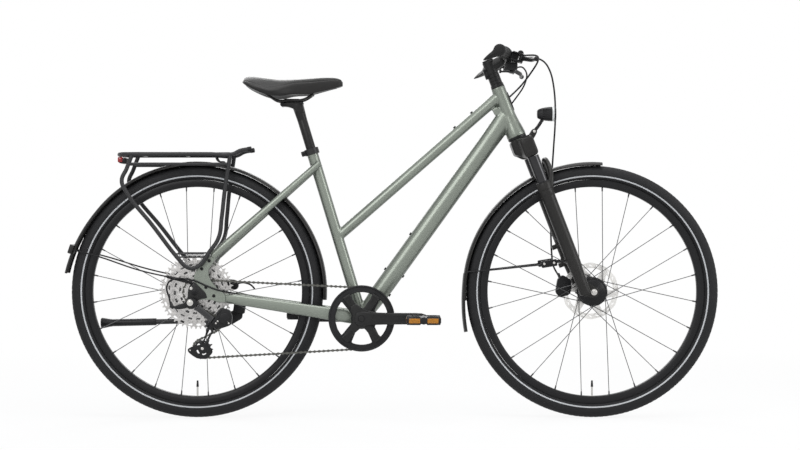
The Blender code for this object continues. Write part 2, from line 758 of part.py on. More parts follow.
def cage_plate(y_from, y_to, width):
    """One side of the pulley cage, wide round both pulleys and slim between them."""
    way = (TENSION_AXLE - GUIDE_AXLE).normalized()
    side = Vector((way.z, 0, -way.x))
    length = (TENSION_AXLE - GUIDE_AXLE).length
    half = [(-0.0080, 0.0030), (-0.0050, 0.0075), (0.0080, 0.0080), (0.0250, width),
            (length - 0.0200, width), (length - 0.0080, width + 0.0060),
            (length + 0.0060, width + 0.0040), (length + 0.0120, 0.0040)]
    outline = [GUIDE_AXLE + way * u + side * v for u, v in half]
    outline += [GUIDE_AXLE + way * u - side * v for u, v in half[::-1]]
    return plate(outline, y_from, y_to)


cage = union(cage_plate(CHAIN_Y - 0.0042, CHAIN_Y - 0.0054, 0.0100),
             axle_rod(GUIDE_AXLE, CHAIN_Y - 0.0080, CHAIN_Y + 0.0048, 0.0030, 10),
             axle_rod(TENSION_AXLE, CHAIN_Y - 0.0060, CHAIN_Y + 0.0048, 0.0030, 10),
             cage_plate(CHAIN_Y + 0.0042, CHAIN_Y + 0.0054, 0.0085))
named("derailleur_cage", cage, "black_metal", GUIDE_AXLE)

# Frame

head = turned([(0, 0), (HEAD_BOTTOM_RADIUS, 0), (HEAD_BOTTOM_RADIUS, 0.0100), (0.0240, 0.0260),
               (HEAD_TOP_RADIUS, 0.0620), (HEAD_TOP_RADIUS, HEAD_TUBE_LENGTH),
               (0, HEAD_TUBE_LENGTH)], on_steerer(HEAD_BOTTOM), STEER_UP, 18, closed=False)
shell = axle_rod(BB, -BB_SHELL_WIDTH / 2, BB_SHELL_WIDTH / 2, BB_SHELL_RADIUS, 20)
seat_tube = rod(BB, on_seat_tube(SEAT_TUBE_LENGTH), SEAT_TUBE_RADIUS, 16)
down_end = on_steerer(HEAD_BOTTOM + DOWN_TUBE_ABOVE_HEAD_BOTTOM)
down_way = down_end - BB
down_tube = oval_tube([BB, BB + down_way * 0.12, BB + down_way * 0.85, down_end],
                      [(0.040, 0.040), (DOWN_TUBE_DEPTH, DOWN_TUBE_WIDTH),
                       (DOWN_TUBE_DEPTH, DOWN_TUBE_WIDTH), (0.056, 0.034)], 16)
top_end = on_steerer(HEAD_TOP - TOP_TUBE_BELOW_HEAD_TOP)
top_start = on_seat_tube(TOP_TUBE_ON_SEAT)
top_way = top_end - top_start
top_tube = oval_tube([top_start, top_start + top_way * 0.5, top_end],
                     [(0.0300, 0.0290), (0.0300, 0.0290), (0.0330, 0.0300)], 14)
frame = union(head, down_tube, top_tube, seat_tube, shell)


def boss(start, way, along, out, height=0.0025):
    """A threaded boss on a tube's surface."""
    way = Vector(way).normalized()
    normal = Vector((-way.z, 0, way.x)) * (1 if out > 0 else -1)
    foot = start + way * along
    return rod(foot + normal * (abs(out) - 0.004), foot + normal * (abs(out) + height), 0.0055, 10)


for along, out in ((0.160, 0.0245), (0.276, 0.0245), (0.100, -0.0240), (0.166, -0.0240)):
    frame = union(frame, boss(BB, down_way, along, out))
for along in (0.4500, 0.5130):
    frame = union(frame, boss(top_start, top_way, along, 0.0140))
frame = cut(frame, rod(on_steerer(HEAD_BOTTOM - 0.01), on_steerer(HEAD_TOP + 0.01), 0.0150, 20))
frame = cut(frame, rod(on_seat_tube(SEAT_TUBE_LENGTH - 0.220), on_seat_tube(SEAT_TUBE_LENGTH + 0.01),
                       SEATPOST_RADIUS + 0.0004, 16))
frame = cut(frame, axle_rod(BB, -0.05, 0.05, 0.0128, 16))
named("main_frame", frame, "frame_paint")

STAY_PLAN = ((0.060, 0.0640), (0.140, 0.0570), (0.240, 0.0475), (0.310, 0.0415),
             (0.380, 0.0370), (0.450, 0.0280))
chainstay_points, chainstay_sizes = [], []
for x, y in STAY_PLAN:
    z = TYRE_RADIUS - 0.0130 - (x - 0.066) * 0.155
    chainstay_points.append(at(x, z, y))
    chainstay_sizes.append((0.0260 + 0.010 * (x - 0.066) / 0.31, CHAINSTAY_WIDTH))
chainstay = oval_tube(chainstay_points, chainstay_sizes, 12)
stay_foot = at(0.0480, TYRE_RADIUS + 0.0990, 0.0700)
stay_head = on_seat_tube(SEAT_TUBE_LENGTH - SEATSTAY_BELOW_TOP, 0.0, 0.0235)
stay_end = stay_head + (stay_head - stay_foot).normalized() * 0.0120
seatstay = bent_tube([stay_foot, stay_foot.lerp(stay_head, 0.25) + Vector((0, -0.004, 0)),
                      stay_end], SEATSTAY_RADIUS, sides=10)

yoke = [at(x, TYRE_RADIUS + z) for x, z in
        ((0.0410, 0.1130), (0.0480, 0.0990), (0.0640, 0.0900), (0.0560, 0.0700), (0.0360, 0.0450),
         (0.0360, 0.0200), (0.0640, 0.0020), (0.0640, -0.0250), (0.0300, -0.0260),
         (0.0100, -0.0220), (-0.0180, -0.0180), (-0.0220, 0.0100), (-0.0080, 0.0340),
         (-0.0020, 0.0520), (0.0280, 0.1020))]
inner_face, outer_face = REAR_HUB_WIDTH / 2, REAR_HUB_WIDTH / 2 + DROPOUT_THICKNESS
axle_hole = ring_points(REAR_AXLE, 0.0054, 12)
left_side = union(plate(yoke, inner_face, outer_face, [axle_hole]), chainstay, seatstay)
hanger = plate([at(x, TYRE_RADIUS + z) for x, z in
                ((0.0100, -0.0200), (0.0000, -0.0360), (-0.0160, -0.0390), (-0.0250, -0.0280),
                 (-0.0190, -0.0100), (0.0000, -0.0140))], -outer_face, -inner_face)
right_side = union(mirrored(left_side), hanger)
bridge = stay_foot.lerp(stay_head, 0.80)
rear = union(left_side, axle_rod(Vector((bridge.x, 0, bridge.z)), -0.0345, 0.0345, 0.0070, 10),
             axle_rod(at(0.3950, TYRE_RADIUS - 0.0640), -0.0380, 0.0380, 0.0080, 10), right_side)
rear = cut(rear, axle_rod(BB, -0.06, 0.06, BB_SHELL_RADIUS + 0.0006, 20))
rear = cut(rear, rod(on_seat_tube(SEAT_TUBE_LENGTH * 0.6), on_seat_tube(SEAT_TUBE_LENGTH * 1.2),
                    SEAT_TUBE_RADIUS + 0.0006, 16))
named("rear_triangle", rear, "frame_paint")

clamp = turned([(SEAT_TUBE_RADIUS + 0.0008, 0), (0.0205, 0), (0.0205, 0.0180),
                (SEAT_TUBE_RADIUS + 0.0008, 0.0180)],
               on_seat_tube(SEAT_TUBE_LENGTH - 0.0160), SEAT_UP, 16)
ear = on_seat_tube(SEAT_TUBE_LENGTH - 0.0070, -0.0250)
clamp = union(clamp, box(ear, (0.0130, 0.0200, 0.0150), SEAT_ANGLE - math.pi / 2))
named("seat_clamp", clamp, "black_metal", on_seat_tube(SEAT_TUBE_LENGTH))

cup = turned([(0.0152, 0), (0.0265, 0), (0.0265, 0.0060), (0.0152, 0.0060)],
             on_steerer(HEAD_BOTTOM - 0.0063), STEER_UP, 20)
named("headset_cup", cup, "black_metal", on_steerer(HEAD_BOTTOM))

# Fork

LEG_Y = LEG_SPACING / 2


def crown_ring(y, low, high, back, front):
    """A rounded block's outline in the bike's plane at one place across the crown."""
    corner = 0.007
    points = [(low + corner, back), (low, back + corner), (low, front - corner), (low + corner, front),
              (high - corner, front), (high, front - corner), (high, back + corner),
              (high - corner, back)]
    return [on_steerer(up, forward, y) for up, forward in points]


crown = loft([crown_ring(-0.0850, 0.424, 0.462, 0.004, 0.028),
              crown_ring(-0.0800, CROWN_BOTTOM, 0.471, -0.004, 0.036),
              crown_ring(-0.0500, CROWN_BOTTOM, CROWN_TOP, -0.008, 0.036),
              crown_ring(-0.0340, 0.4300, CROWN_TOP, -0.026, 0.036),
              crown_ring(0.0340, 0.4300, CROWN_TOP, -0.026, 0.036),
              crown_ring(0.0500, CROWN_BOTTOM, CROWN_TOP, -0.008, 0.036),
              crown_ring(0.0800, CROWN_BOTTOM, 0.471, -0.004, 0.036),
              crown_ring(0.0850, 0.424, 0.462, 0.004, 0.028)])
steerer = rod(on_steerer(CROWN_TOP - 0.020), on_steerer(0.7000), STEERER_RADIUS, 16)
crown = union(crown, steerer)
for side in (-1, 1):
    crown = union(crown, plate([on_steerer(0.452, 0.0300), on_steerer(0.472, 0.0300),
                                on_steerer(0.486, 0.0480), on_steerer(0.484, 0.0580),
                                on_steerer(0.474, 0.0590), on_steerer(0.462, 0.0460)],
                               side * 0.0044, side * 0.0072))
named("fork_crown", crown, "black_paint", on_steerer(HEAD_BOTTOM))

stanchion = rod(on_steerer(STANCHION_BOTTOM, LEG_FORWARD, LEG_Y),
                on_steerer(CROWN_BOTTOM - 0.0004, LEG_FORWARD, LEG_Y), STANCHION_RADIUS, 20)
named("fork_stanchion_right", mirrored(stanchion), "dark_chrome",
      on_steerer(LEG_TOP, LEG_FORWARD, -LEG_Y))
named("fork_stanchion_left", stanchion, "dark_chrome", on_steerer(LEG_TOP, LEG_FORWARD, LEG_Y))

leg = turned([(0, 0), (LEG_BOTTOM_RADIUS, 0), (LEG_BOTTOM_RADIUS, 0.040), (LEG_TOP_RADIUS, 0.095),
              (LEG_TOP_RADIUS, 0.290), (COLLAR_RADIUS, 0.298), (COLLAR_RADIUS, LEG_TOP),
              (0, LEG_TOP)],
             on_steerer(LEG_BOTTOM, LEG_FORWARD, LEG_Y), STEER_UP, 16, closed=False)
tip = plate([on_steerer(0.030, 0.010), on_steerer(-0.004, 0.012), on_steerer(-0.014, 0.034),
             on_steerer(-0.012, 0.050), on_steerer(0.004, 0.056), on_steerer(0.014, 0.048),
             on_steerer(0.034, 0.026)], FRONT_HUB_WIDTH / 2, FRONT_HUB_WIDTH / 2 + 0.0080,
            [ring_points(FRONT_AXLE, 0.0054, 12)])

leg = union(leg, tip)
legs = pair(leg)
arch = bent_tube([on_steerer(0.316, 0.030, -0.0660), on_steerer(0.345, 0.047, -0.0600),
                  on_steerer(0.378, 0.050, -0.0420), on_steerer(ARCH_HEIGHT, 0.050, -0.0180),
                  on_steerer(ARCH_HEIGHT, 0.050, 0.0180), on_steerer(0.378, 0.050, 0.0420),
                  on_steerer(0.345, 0.047, 0.0600), on_steerer(0.316, 0.030, 0.0660)],
                 ARCH_RADIUS, sides=8)
lowers = union(legs, arch)
for side in (-1, 1):
    lowers = cut(lowers, rod(on_steerer(STANCHION_BOTTOM - FORK_TRAVEL - 0.0060, LEG_FORWARD, side * LEG_Y),
                             on_steerer(0.4000, LEG_FORWARD, side * LEG_Y),
                             STANCHION_RADIUS + 0.0007, 16))
named("fork_lowers", lowers, "black_paint", on_steerer(LEG_TOP))

# Cockpit

BAR_CENTRE = on_steerer(BAR_HEIGHT_ON_STEERER, STEM_REACH)
BAR_STRAIGHT = BAR_HALF_WIDTH - BAR_SWEPT_LENGTH


def bar_at(y):
    """A point on the bar's axis, swept back and dropped outside its middle part."""
    out = max(0, abs(y) - BAR_STRAIGHT)
    return BAR_CENTRE + Vector((-BAR_SWEEP * out, y, -BAR_FALL * out))


bar_stations = [(BAR_HALF_WIDTH - 0.0015, 1), (BAR_STRAIGHT, 1), (BAR_STRAIGHT * 0.69, 1),
                (BAR_STRAIGHT * 0.38, BAR_CLAMP_RADIUS / BAR_RADIUS)]
bar_stations += [(-y, k) for y, k in bar_stations[::-1]]
bar = bent_tube([bar_at(y) for y, k in bar_stations], BAR_RADIUS, 12, [k for y, k in bar_stations])
named("handlebar", bar, "black_paint", BAR_CENTRE)

stem = turned([(0, 0), (HEAD_TOP_RADIUS, 0), (0.0180, 0.0100), (STEM_RADIUS, 0.0110),
               (STEM_RADIUS, STEM_TOP - HEAD_TOP - 0.003),
               (STEM_RADIUS - 0.003, STEM_TOP - HEAD_TOP - GAP), (0, STEM_TOP - HEAD_TOP - GAP)],
              on_steerer(HEAD_TOP + GAP), STEER_UP, 16, closed=False)
stem = union(stem, oval_tube([on_steerer(0.690, 0), on_steerer(0.698, STEM_REACH)],
                             [(0.034, 0.032), (0.030, 0.040)], 8))
stem = union(stem, axle_rod(BAR_CENTRE, -0.0220, 0.0220, 0.0195, 14))
stem = union(stem, box(on_steerer(0.676, -0.0170), (0.0120, 0.0220, 0.0300), HEAD_ANGLE - math.pi / 2))
stem = cut(stem, axle_rod(BAR_CENTRE, -0.03, 0.03, BAR_CLAMP_RADIUS + 0.0005, 16))
stem = cut(stem, rod(on_steerer(0.62), on_steerer(0.7005), STEERER_RADIUS + 0.0004, 16))
named("stem", stem, "black_paint", on_steerer(HEAD_TOP))

GRIP_START = BAR_HALF_WIDTH - GRIP_LENGTH - 0.001
GRIP_WAY = (bar_at(BAR_HALF_WIDTH) - bar_at(GRIP_START)).normalized()


def grip_ring(y, radius, wing, lift=0.0):
    """A ring round the bar, drawn out behind it into a palm rest."""
    ring = []
    rest = math.radians(205 + lift)
    for i in range(12):
        a = math.tau * i / 12 + rest
        near = max(0.0, math.cos(a - rest)) ** 3
        r = radius + wing * near
        ring.append(bar_at(y) + Vector((r * math.cos(a), 0, r * math.sin(a))))
    return ring


grip = loft([grip_ring(GRIP_START + along, radius, wing) for along, radius, wing in
             ((0, GRIP_RADIUS + 0.001, 0), (0.0110, GRIP_RADIUS, 0.002), (0.0510, GRIP_RADIUS, 0.008),
              (0.0910, GRIP_RADIUS, 0.026), (0.1160, GRIP_RADIUS, 0.036),
              (0.1290, GRIP_RADIUS, 0.036), (0.1340, GRIP_RADIUS - 0.002, 0.028))])
grip = cut(grip, rod(bar_at(GRIP_START - 0.030), bar_at(BAR_HALF_WIDTH - 0.0008), BAR_RADIUS + 0.0005, 12))
GRIP_MIDDLE = GRIP_START + GRIP_LENGTH / 2
named("grip_right", mirrored(grip), "grip_rubber", bar_at(-GRIP_MIDDLE))
named("grip_left", grip, "grip_rubber", bar_at(GRIP_MIDDLE))

LEVER_WAY = Vector((0.945, 0, -0.326))
LEVER_AXIS = Vector((0.326, 0, 0.945))
PERCH_Y = GRIP_START - 0.0210
LEVER_Y = GRIP_START - 0.0010
TANK_Y = PERCH_Y - 0.0320
LEVER_REACH = 0.0480
LEVER_BARREL = 0.0160


def perch(side):
    """A lever's clamp on the bar with its reservoir in front."""
    foot = bar_at(side * PERCH_Y)
    body = rod(foot - Vector((0, 0.0070, 0)), foot + Vector((0, 0.0070, 0)), 0.0165, 16)
    neck = bar_at(side * (PERCH_Y - 0.0020)) + LEVER_WAY * 0.0240
    body = union(body, box(neck, (0.0260, 0.0120, LEVER_BARREL + 0.0050), math.radians(19)))
    for way in (-1, 1):
        lug = bar_at(side * LEVER_Y) + LEVER_WAY * (LEVER_REACH - 0.0110) - Vector((0, side * 0.0080, 0))
        body = union(body, box(lug + way * LEVER_AXIS * (LEVER_BARREL / 2 + 0.0020 + GAP),
                               (0.0340, 0.0320, 0.0040), math.radians(19)))
    tank = bar_at(side * TANK_Y) + LEVER_WAY * 0.0380 + Vector((0, 0, 0.010))
    body = union(body, rod(tank - Vector((0, 0.0360, 0)), tank + Vector((0, 0.0360, 0)), 0.0085, 12))
    return cut(body, rod(foot - GRIP_WAY * 0.03 * Vector((1, side, 1)),
                         foot + GRIP_WAY * 0.03 * Vector((1, side, 1)), BAR_RADIUS + 0.0005, 16))


named("brake_perch_right", perch(DRIVE), "black_metal", bar_at(-PERCH_Y))
named("brake_perch_left", perch(LEFT), "black_metal", bar_at(PERCH_Y))


def brake_lever(side):
    """A curved two-finger lever with a ball at its end."""
    pivot = bar_at(side * LEVER_Y) + LEVER_WAY * LEVER_REACH
    down = LEVER_AXIS * -1
    points = [pivot + Vector((0, side * out, 0)) + LEVER_WAY * ahead + down * drop
              for out, ahead, drop in ((0.000, 0, 0), (0.020, 0.010, 0.0), (0.050, 0.026, 0.0),
                                       (0.085, 0.030, 0.0), (0.108, 0.034, 0.0))]
    blade = loft([[p + LEVER_WAY * u * 0.0035 + LEVER_AXIS * v * 0.0055 for u, v in
                   ((-1, -1), (1, -1), (1, 1), (-1, 1))] for p in points])
    blade = union(blade, rod(pivot - LEVER_AXIS * LEVER_BARREL / 2, pivot + LEVER_AXIS * LEVER_BARREL / 2,
                             0.0060, 12))
    ball = points[-1] + Vector((0, side * 0.003, 0))
    knob = turned([(0, -0.0070), (0.0050, -0.0050), (0.0070, 0), (0.0050, 0.0050), (0, 0.0070)],
                  ball, LEVER_AXIS, 10, closed=False)
    return union(blade, knob), pivot


for name, side in (("brake_lever_right", DRIVE), ("brake_lever_left", LEFT)):
    lever, lever_pivot = brake_lever(side)
    named(name, lever, "black_metal", lever_pivot)

SHIFT_Y = 0.0250 - PERCH_Y
shift_foot = bar_at(SHIFT_Y)
pod_centre = shift_foot + Vector((0.0120, 0, -0.0350))
pod = union(rod(shift_foot - Vector((0, 0.0060, 0)), shift_foot + Vector((0, 0.0060, 0)), 0.0160, 16),
            box(shift_foot + Vector((0.006, 0, -0.0200)), (0.014, 0.010, 0.022)),
            box(pod_centre, (0.0360, 0.0360, 0.0230)))
pod = cut(pod, rod(bar_at(SHIFT_Y + 0.03), bar_at(SHIFT_Y - 0.03), BAR_RADIUS + 0.0007, 16))
named("shifter_body", pod, "black_plastic", pod_centre)
SHIFT_PIVOT = pod_centre + Vector((0.0040, 0.0080, -0.0148))
paddle = union(rod(SHIFT_PIVOT + Vector((0, 0, -0.0030)), SHIFT_PIVOT + Vector((0, 0, 0.0030)), 0.0080, 12),
               box(SHIFT_PIVOT + Vector((-0.0150, -0.0120, 0)), (0.0360, 0.0120, 0.0040)),
               box(SHIFT_PIVOT + Vector((-0.0330, -0.0120, 0.0010)), (0.0060, 0.0200, 0.0090)))
named("shift_lever", paddle, "black_plastic", SHIFT_PIVOT)

bell_foot = bar_at(0.0860)
bell = union(rod(bell_foot - Vector((0, 0.0050, 0)), bell_foot + Vector((0, 0.0050, 0)), 0.0150, 16),
             turned([(0, 0.0100), (0.0170, 0.0120), (0.0170, 0.0160), (0.0130, 0.0230),
                     (0.0060, 0.0260), (0, 0.0265)],
                    bell_foot, (0, 0, 1), 14, closed=False))
bell = cut(bell, rod(bell_foot - Vector((0, 0.02, 0)), bell_foot + Vector((0, 0.02, 0)),
                     BAR_RADIUS + 0.0004, 16))
named("bell", bell, "black_metal", bell_foot)

LAMP_PIVOT = on_steerer(0.478, 0.0510)
lamp_middle = on_steerer(0.512, 0.0985)
lamp = turned([(0, -0.0240), (0.0100, -0.0220), (0.0160, -0.0120), (0.0205, 0.0100),
               (0.0215, 0.0250), (0.0180, 0.0290), (0, 0.0290)],
              lamp_middle, (1, 0, 0), 16, closed=False)
lamp = union(lamp, rod(LAMP_PIVOT, lamp_middle, 0.0040, 8))
lamp = union(lamp, axle_rod(LAMP_PIVOT, -0.0040, 0.0040, 0.0070, 12))
named("headlight", lamp, "black_plastic", LAMP_PIVOT)

# Seat

post = rod(on_seat_tube(SEAT_TUBE_LENGTH - SEATPOST_INSERTION), on_seat_tube(SEATPOST_TOP - 0.006),
           SEATPOST_RADIUS, 20)
RAIL_CENTRE = on_seat_tube(SEATPOST_TOP) + Vector((-0.0160, 0, 0.0120))
post = union(post, box(RAIL_CENTRE + Vector((0, 0, -0.0060)), (0.0560, 0.0374, 0.0240)))
named("seatpost", post, "black_metal", on_seat_tube(SEATPOST_TOP))


def by_clamp(x, z, y=0.0):
    """A point ahead of the saddle's clamp, above it and to the left."""
    return RAIL_CENTRE + Vector((x, y, z))


# Stations give the place along the saddle from its clamp, half width, and the heights of the
# top, the skirt's edge and the underside above the clamp
SADDLE_FORM = ((-0.135, 0.040, 0.056, 0.043, 0.0447), (-0.128, 0.066, 0.063, 0.034, 0.0367),
               (-0.108, 0.084, 0.064, 0.027, 0.0307), (-0.071, 0.086, 0.061, 0.015, 0.0257),
               (-0.031, 0.072, 0.058, 0.007, 0.0227), (0.009, 0.050, 0.060, 0.009, 0.0207),
               (0.049, 0.033, 0.063, 0.017, 0.0217), (0.089, 0.024, 0.066, 0.025, 0.0267),
               (0.122, 0.019, 0.064, 0.031, 0.0317), (0.136, 0.014, 0.059, 0.034, 0.0347),
               (0.142, 0.006, 0.049, 0.040, 0.0397))
sections = []
for x, half, top, low, under in SADDLE_FORM:
    rise = top - low
    outline = [(0, top), (0.45, top - rise * 0.02), (0.80, top - rise * 0.16), (0.96, top - rise * 0.42),
               (1.0, low + rise * 0.22), (0.96, low), (0.80, low + (under - low) * 0.35), (0.55, under)]
    ring = [by_clamp(x, z, half * u) for u, z in outline] + [by_clamp(x, outline[-1][1])]
    sections.append(ring + [by_clamp(x, z, -half * u) for u, z in outline[:0:-1]])
named("saddle_cover", loft(sections), "cover", RAIL_CENTRE)

rail = bent_tube([by_clamp(-0.0758, 0.0223, 0.0200), by_clamp(-0.0598, 0.0117, 0.0225),
                  by_clamp(-0.0398, 0.0007, 0.0225), by_clamp(0.0302, 0.0027, 0.0225),
                  by_clamp(0.0602, 0.0189, 0.0160)], RAIL_RADIUS, 8)
rails = union(pair(rail), axle_rod(by_clamp(-0.0723, 0.0197), -0.0200, 0.0200, 0.0030, 8),
              axle_rod(by_clamp(0.0562, 0.0162), -0.0160, 0.0160, 0.0030, 8))
named("saddle_rails", rails, "black_metal", RAIL_CENTRE)

# Mudguards


def mudguard(centre, start, end, steps, flare_from=None, radius=GUARD_RADIUS, width=GUARD_WIDTH,
             thickness=GUARD_THICKNESS):
    """A rolled guard over a wheel between two angles, flared out towards its far end."""
    half = width / 2
    sections = []
    for i in range(steps + 1):
        a = start + (end - start) * i / steps
        flare = 0.0
        if flare_from is not None and (end - flare_from) * (a - flare_from) > 0:
            flare = GUARD_TAIL_FLARE * ((a - flare_from) / (end - flare_from)) ** 1.6
        skin = [(radius - 0.0090, -half), (radius - 0.0020, -half * 0.70), (radius, 0),
                (radius - 0.0020, half * 0.70), (radius - 0.0090, half)]
        lining = [(r - thickness * 1.05, y * (1 - 0.9 * thickness / half)) for r, y in skin[::-1]]
        sections.append([around(centre, r + flare, a, y) for r, y in skin + lining])
    return loft(sections)


STAY_END_Y = 0.0790
rear_guard = mudguard(REAR_AXLE, math.radians(-3.7), math.radians(172), 24, math.radians(140))
rear_guard = union(rear_guard, box(around(REAR_AXLE, 0.3700, math.radians(161.3)),
                                   (0.0130, 0.0560, 0.0260), -math.radians(161.3)))
for side in (-1, 1):
    rear_guard = union(rear_guard, bent_tube(
        [at(-0.3440, 0.4700, side * 0.0260), at(-0.2710, 0.4520, side * 0.0480),
         at(-0.1500, 0.4140, side * 0.0800), at(-0.0100, 0.3800, side * STAY_END_Y)], 0.0023, 8),
        axle_rod(at(-0.0100, 0.3800), side * (REAR_HUB_WIDTH / 2 + DROPOUT_THICKNESS + GAP),
                 side * (STAY_END_Y + 0.0030), 0.0042, 8))
post = bridge - REAR_AXLE
post = Vector((post.x, 0, post.z))
rear_guard = union(rear_guard, rod(REAR_AXLE + post.normalized() * 0.3620,
                                   REAR_AXLE + post - post.normalized() * 0.0074, 0.0050, 10))
named("rear_mudguard", rear_guard, "black_plastic", REAR_AXLE)

front_guard = mudguard(FRONT_AXLE, math.radians(85.6), math.radians(184), 14)
flap = mudguard(FRONT_AXLE, math.radians(170), math.radians(197.6), 6, math.radians(176),
                GUARD_RADIUS + 0.0012, GUARD_WIDTH + 0.0024)
front_guard = union(front_guard, flap, rod(on_steerer(0.3620, 0.0440), on_steerer(
    ARCH_HEIGHT - ARCH_RADIUS - 0.0005, 0.0500), 0.0050, 10))
stay_boss = on_steerer(0.1100, LEG_FORWARD - LEG_TOP_RADIUS - 0.0012)
for side in (-1, 1):
    front_guard = union(front_guard, bent_tube(
        [around(FRONT_AXLE, 0.3560, math.radians(171), side * 0.0250),
         around(FRONT_AXLE, 0.3560, math.radians(171), side * 0.0300) + Vector((0.030, 0, 0.002)),
         stay_boss + Vector((0, side * LEG_Y, 0))], 0.0024, 6))
named("front_mudguard", front_guard, "black_plastic", FRONT_AXLE)

# Rack

RAIL_Z = RACK_HEIGHT
RACK_REAR = -0.2175
RACK_FRONT = RACK_REAR + RACK_LENGTH
side_y = RACK_HALF_WIDTH
loop = [at(0.149, RAIL_Z + 0.0143, -side_y + 0.010), at(0.126, RAIL_Z + 0.0100, -side_y + 0.003),
        at(RACK_FRONT - 0.008, RAIL_Z, -side_y), at(RACK_REAR + 0.040, RAIL_Z, -side_y),
        at(RACK_REAR + 0.012, RAIL_Z, -side_y + 0.012), at(RACK_REAR + 0.002, RAIL_Z, -side_y + 0.040)]
loop += [Vector((p.x, -p.y, p.z)) for p in loop[::-1]]
rack = bent_tube(loop, RACK_TUBE_RADIUS, 6)
strut = [at(-0.176, RAIL_Z - 0.004, side_y), at(-0.190, 0.696, side_y + 0.002),
         at(-0.203, 0.662, side_y + 0.006), at(-0.190, 0.632, side_y + 0.008),
         at(-0.040, 0.442, side_y + 0.0245), at(-0.024, 0.426, side_y + 0.0265),
         at(-0.006, 0.420, side_y + 0.0265), at(0.014, 0.428, side_y + 0.0265),
         at(0.042, 0.465, side_y + 0.0245), at(0.067, 0.504, side_y + 0.020),
         at(0.083, 0.637, side_y + 0.006), at(0.097, RAIL_Z - 0.004, side_y)]
rack = union(rack, bent_tube(strut, RACK_TUBE_RADIUS, 6),
             bent_tube([Vector((p.x, -p.y, p.z)) for p in strut], RACK_TUBE_RADIUS, 6))
for side in (-1, 1):
    rack = union(rack, rod(at(-0.188, RAIL_Z - PANNIER_RAIL_DROP, side * (side_y + 0.001)),
                           at(0.094, RAIL_Z - PANNIER_RAIL_DROP, side * (side_y + 0.001)),
                           0.0045, 6))
for x in (-0.150, -0.030, 0.088):
    rack = union(rack, axle_rod(at(x, RAIL_Z - 0.0005), -side_y, side_y, 0.0045, 6))
for side in (-1, 1):
    rack = union(rack, axle_rod(at(0.0190, 0.4310), side * (outer_face + GAP), side * (side_y + 0.0265),
                                0.0050, 8))
deck = box(at(-0.031, RAIL_Z + 0.0050), (0.250, 0.060, 0.003))
named("rear_rack", union(rack, deck), "black_paint", at(-0.031, RAIL_Z))

light_centre = at(RACK_REAR + 0.0110, RAIL_Z - RACK_TUBE_RADIUS - GAP - 0.0085)
named("tail_light", box(light_centre, (0.0250, 0.0760, 0.0170)), "red_lens", light_centre)

# Kickstand

STAND_PIVOT = at(0.0810, 0.2686, 0.0800)
mount = box(at(0.1120, 0.3037, 0.0640), (0.0330, 0.0240, 0.0290), math.radians(8.8))
mount = union(mount, plate([at(0.0700, 0.2880), at(0.0990, 0.2980), at(0.1220, 0.2960), at(0.1200, 0.2740),
                            at(0.0900, 0.2560), at(0.0700, 0.2580)], 0.0600, 0.0667))
named("kickstand_mount", mount, "black_plastic", at(0.1120, 0.3037, 0.0640))
FOOT_END = at(0.0810 - STAND_LENGTH, 0.2595, 0.0840)
way = (FOOT_END - STAND_PIVOT).normalized()
stand = rod(STAND_PIVOT, STAND_PIVOT + way * 0.2330, 0.0075, 12)
stand = union(stand, rod(STAND_PIVOT + way * 0.2100, FOOT_END - way * 0.0300, 0.0105, 12),
              rod(FOOT_END - way * 0.0330, FOOT_END, 0.0130, 12, 0.0090),
              axle_rod(STAND_PIVOT, -0.0130, 0.0130, 0.0130, 12))
named("kickstand_leg", stand, "black_metal", STAND_PIVOT)

# Brake calipers and hoses


def caliper(outline, y, disc_centre, y_from, y_to):
    """A brake caliper astride its disc."""
    slot = plate(ring_points(disc_centre, DISC_RADIUS + 0.0012, 48), y - 0.0017, y + 0.0017)
    return cut(plate(outline, y_from, y_to), slot)


rear_caliper = caliper([at(0.0560, 0.3640), at(0.0700, 0.3560), at(0.1060, 0.3560), at(0.1120, 0.3680),
                        at(0.1040, 0.3840), at(0.0640, 0.3880), at(0.0520, 0.3780)],
                       0.0523, REAR_AXLE, 0.0400, 0.0620)
rear_caliper = union(rear_caliper, bent_tube(
    smooth_route([at(0.0980, 0.3700, 0.0560), at(0.1220, 0.3760, 0.0545), at(0.1440, 0.3700, 0.0545),
                  at(0.1560, 0.3580, 0.0545)], 2), 0.0025, 6))
named("rear_caliper", rear_caliper, "black_metal", at(0.0850, 0.3680, 0.0500))
front_caliper = caliper([around(FRONT_AXLE, r, math.radians(a)) for r, a in
                         ((0.0560, 166), (0.0640, 150), (0.0920, 150), (0.1000, 160), (0.1000, 182),
                          (0.0900, 192), (0.0620, 190), (0.0560, 182))],
                        0.0395, FRONT_AXLE, 0.0270, 0.0480)
named("front_caliper", front_caliper, "black_metal", around(FRONT_AXLE, 0.0800, math.pi, 0.0395))


def by_front_axle(x, z, y):
    """A point ahead of the front axle, above it and to the left."""
    return FRONT_AXLE + Vector((x, y, z))


TANK_END = bar_at(TANK_Y) + LEVER_WAY * 0.0380 + Vector((0, -0.0373, 0.010))
hose = [TANK_END, TANK_END + Vector((0.001, -0.012, 0.001))]
hose += [by_front_axle(*point) for point in
         ((-0.1680, 0.6620, 0.0500), (-0.1380, 0.6370, 0.0400), (-0.1360, 0.5770, 0.0440),
          (-0.1520, 0.5170, 0.0560), (-0.1580, 0.4470, 0.0900), (-0.1400, 0.3470, 0.0960),
          (-0.1140, 0.2270, 0.0920), (-0.1080, 0.1570, 0.0860), (-0.1060, 0.0990, 0.0780),
          (-0.1020, 0.0690, 0.0700), (-0.0890, 0.0412, 0.0420))]
named("front_brake_hose", bent_tube(smooth_route(hose, 2), 0.0025, 6), "black_plastic", TANK_END)

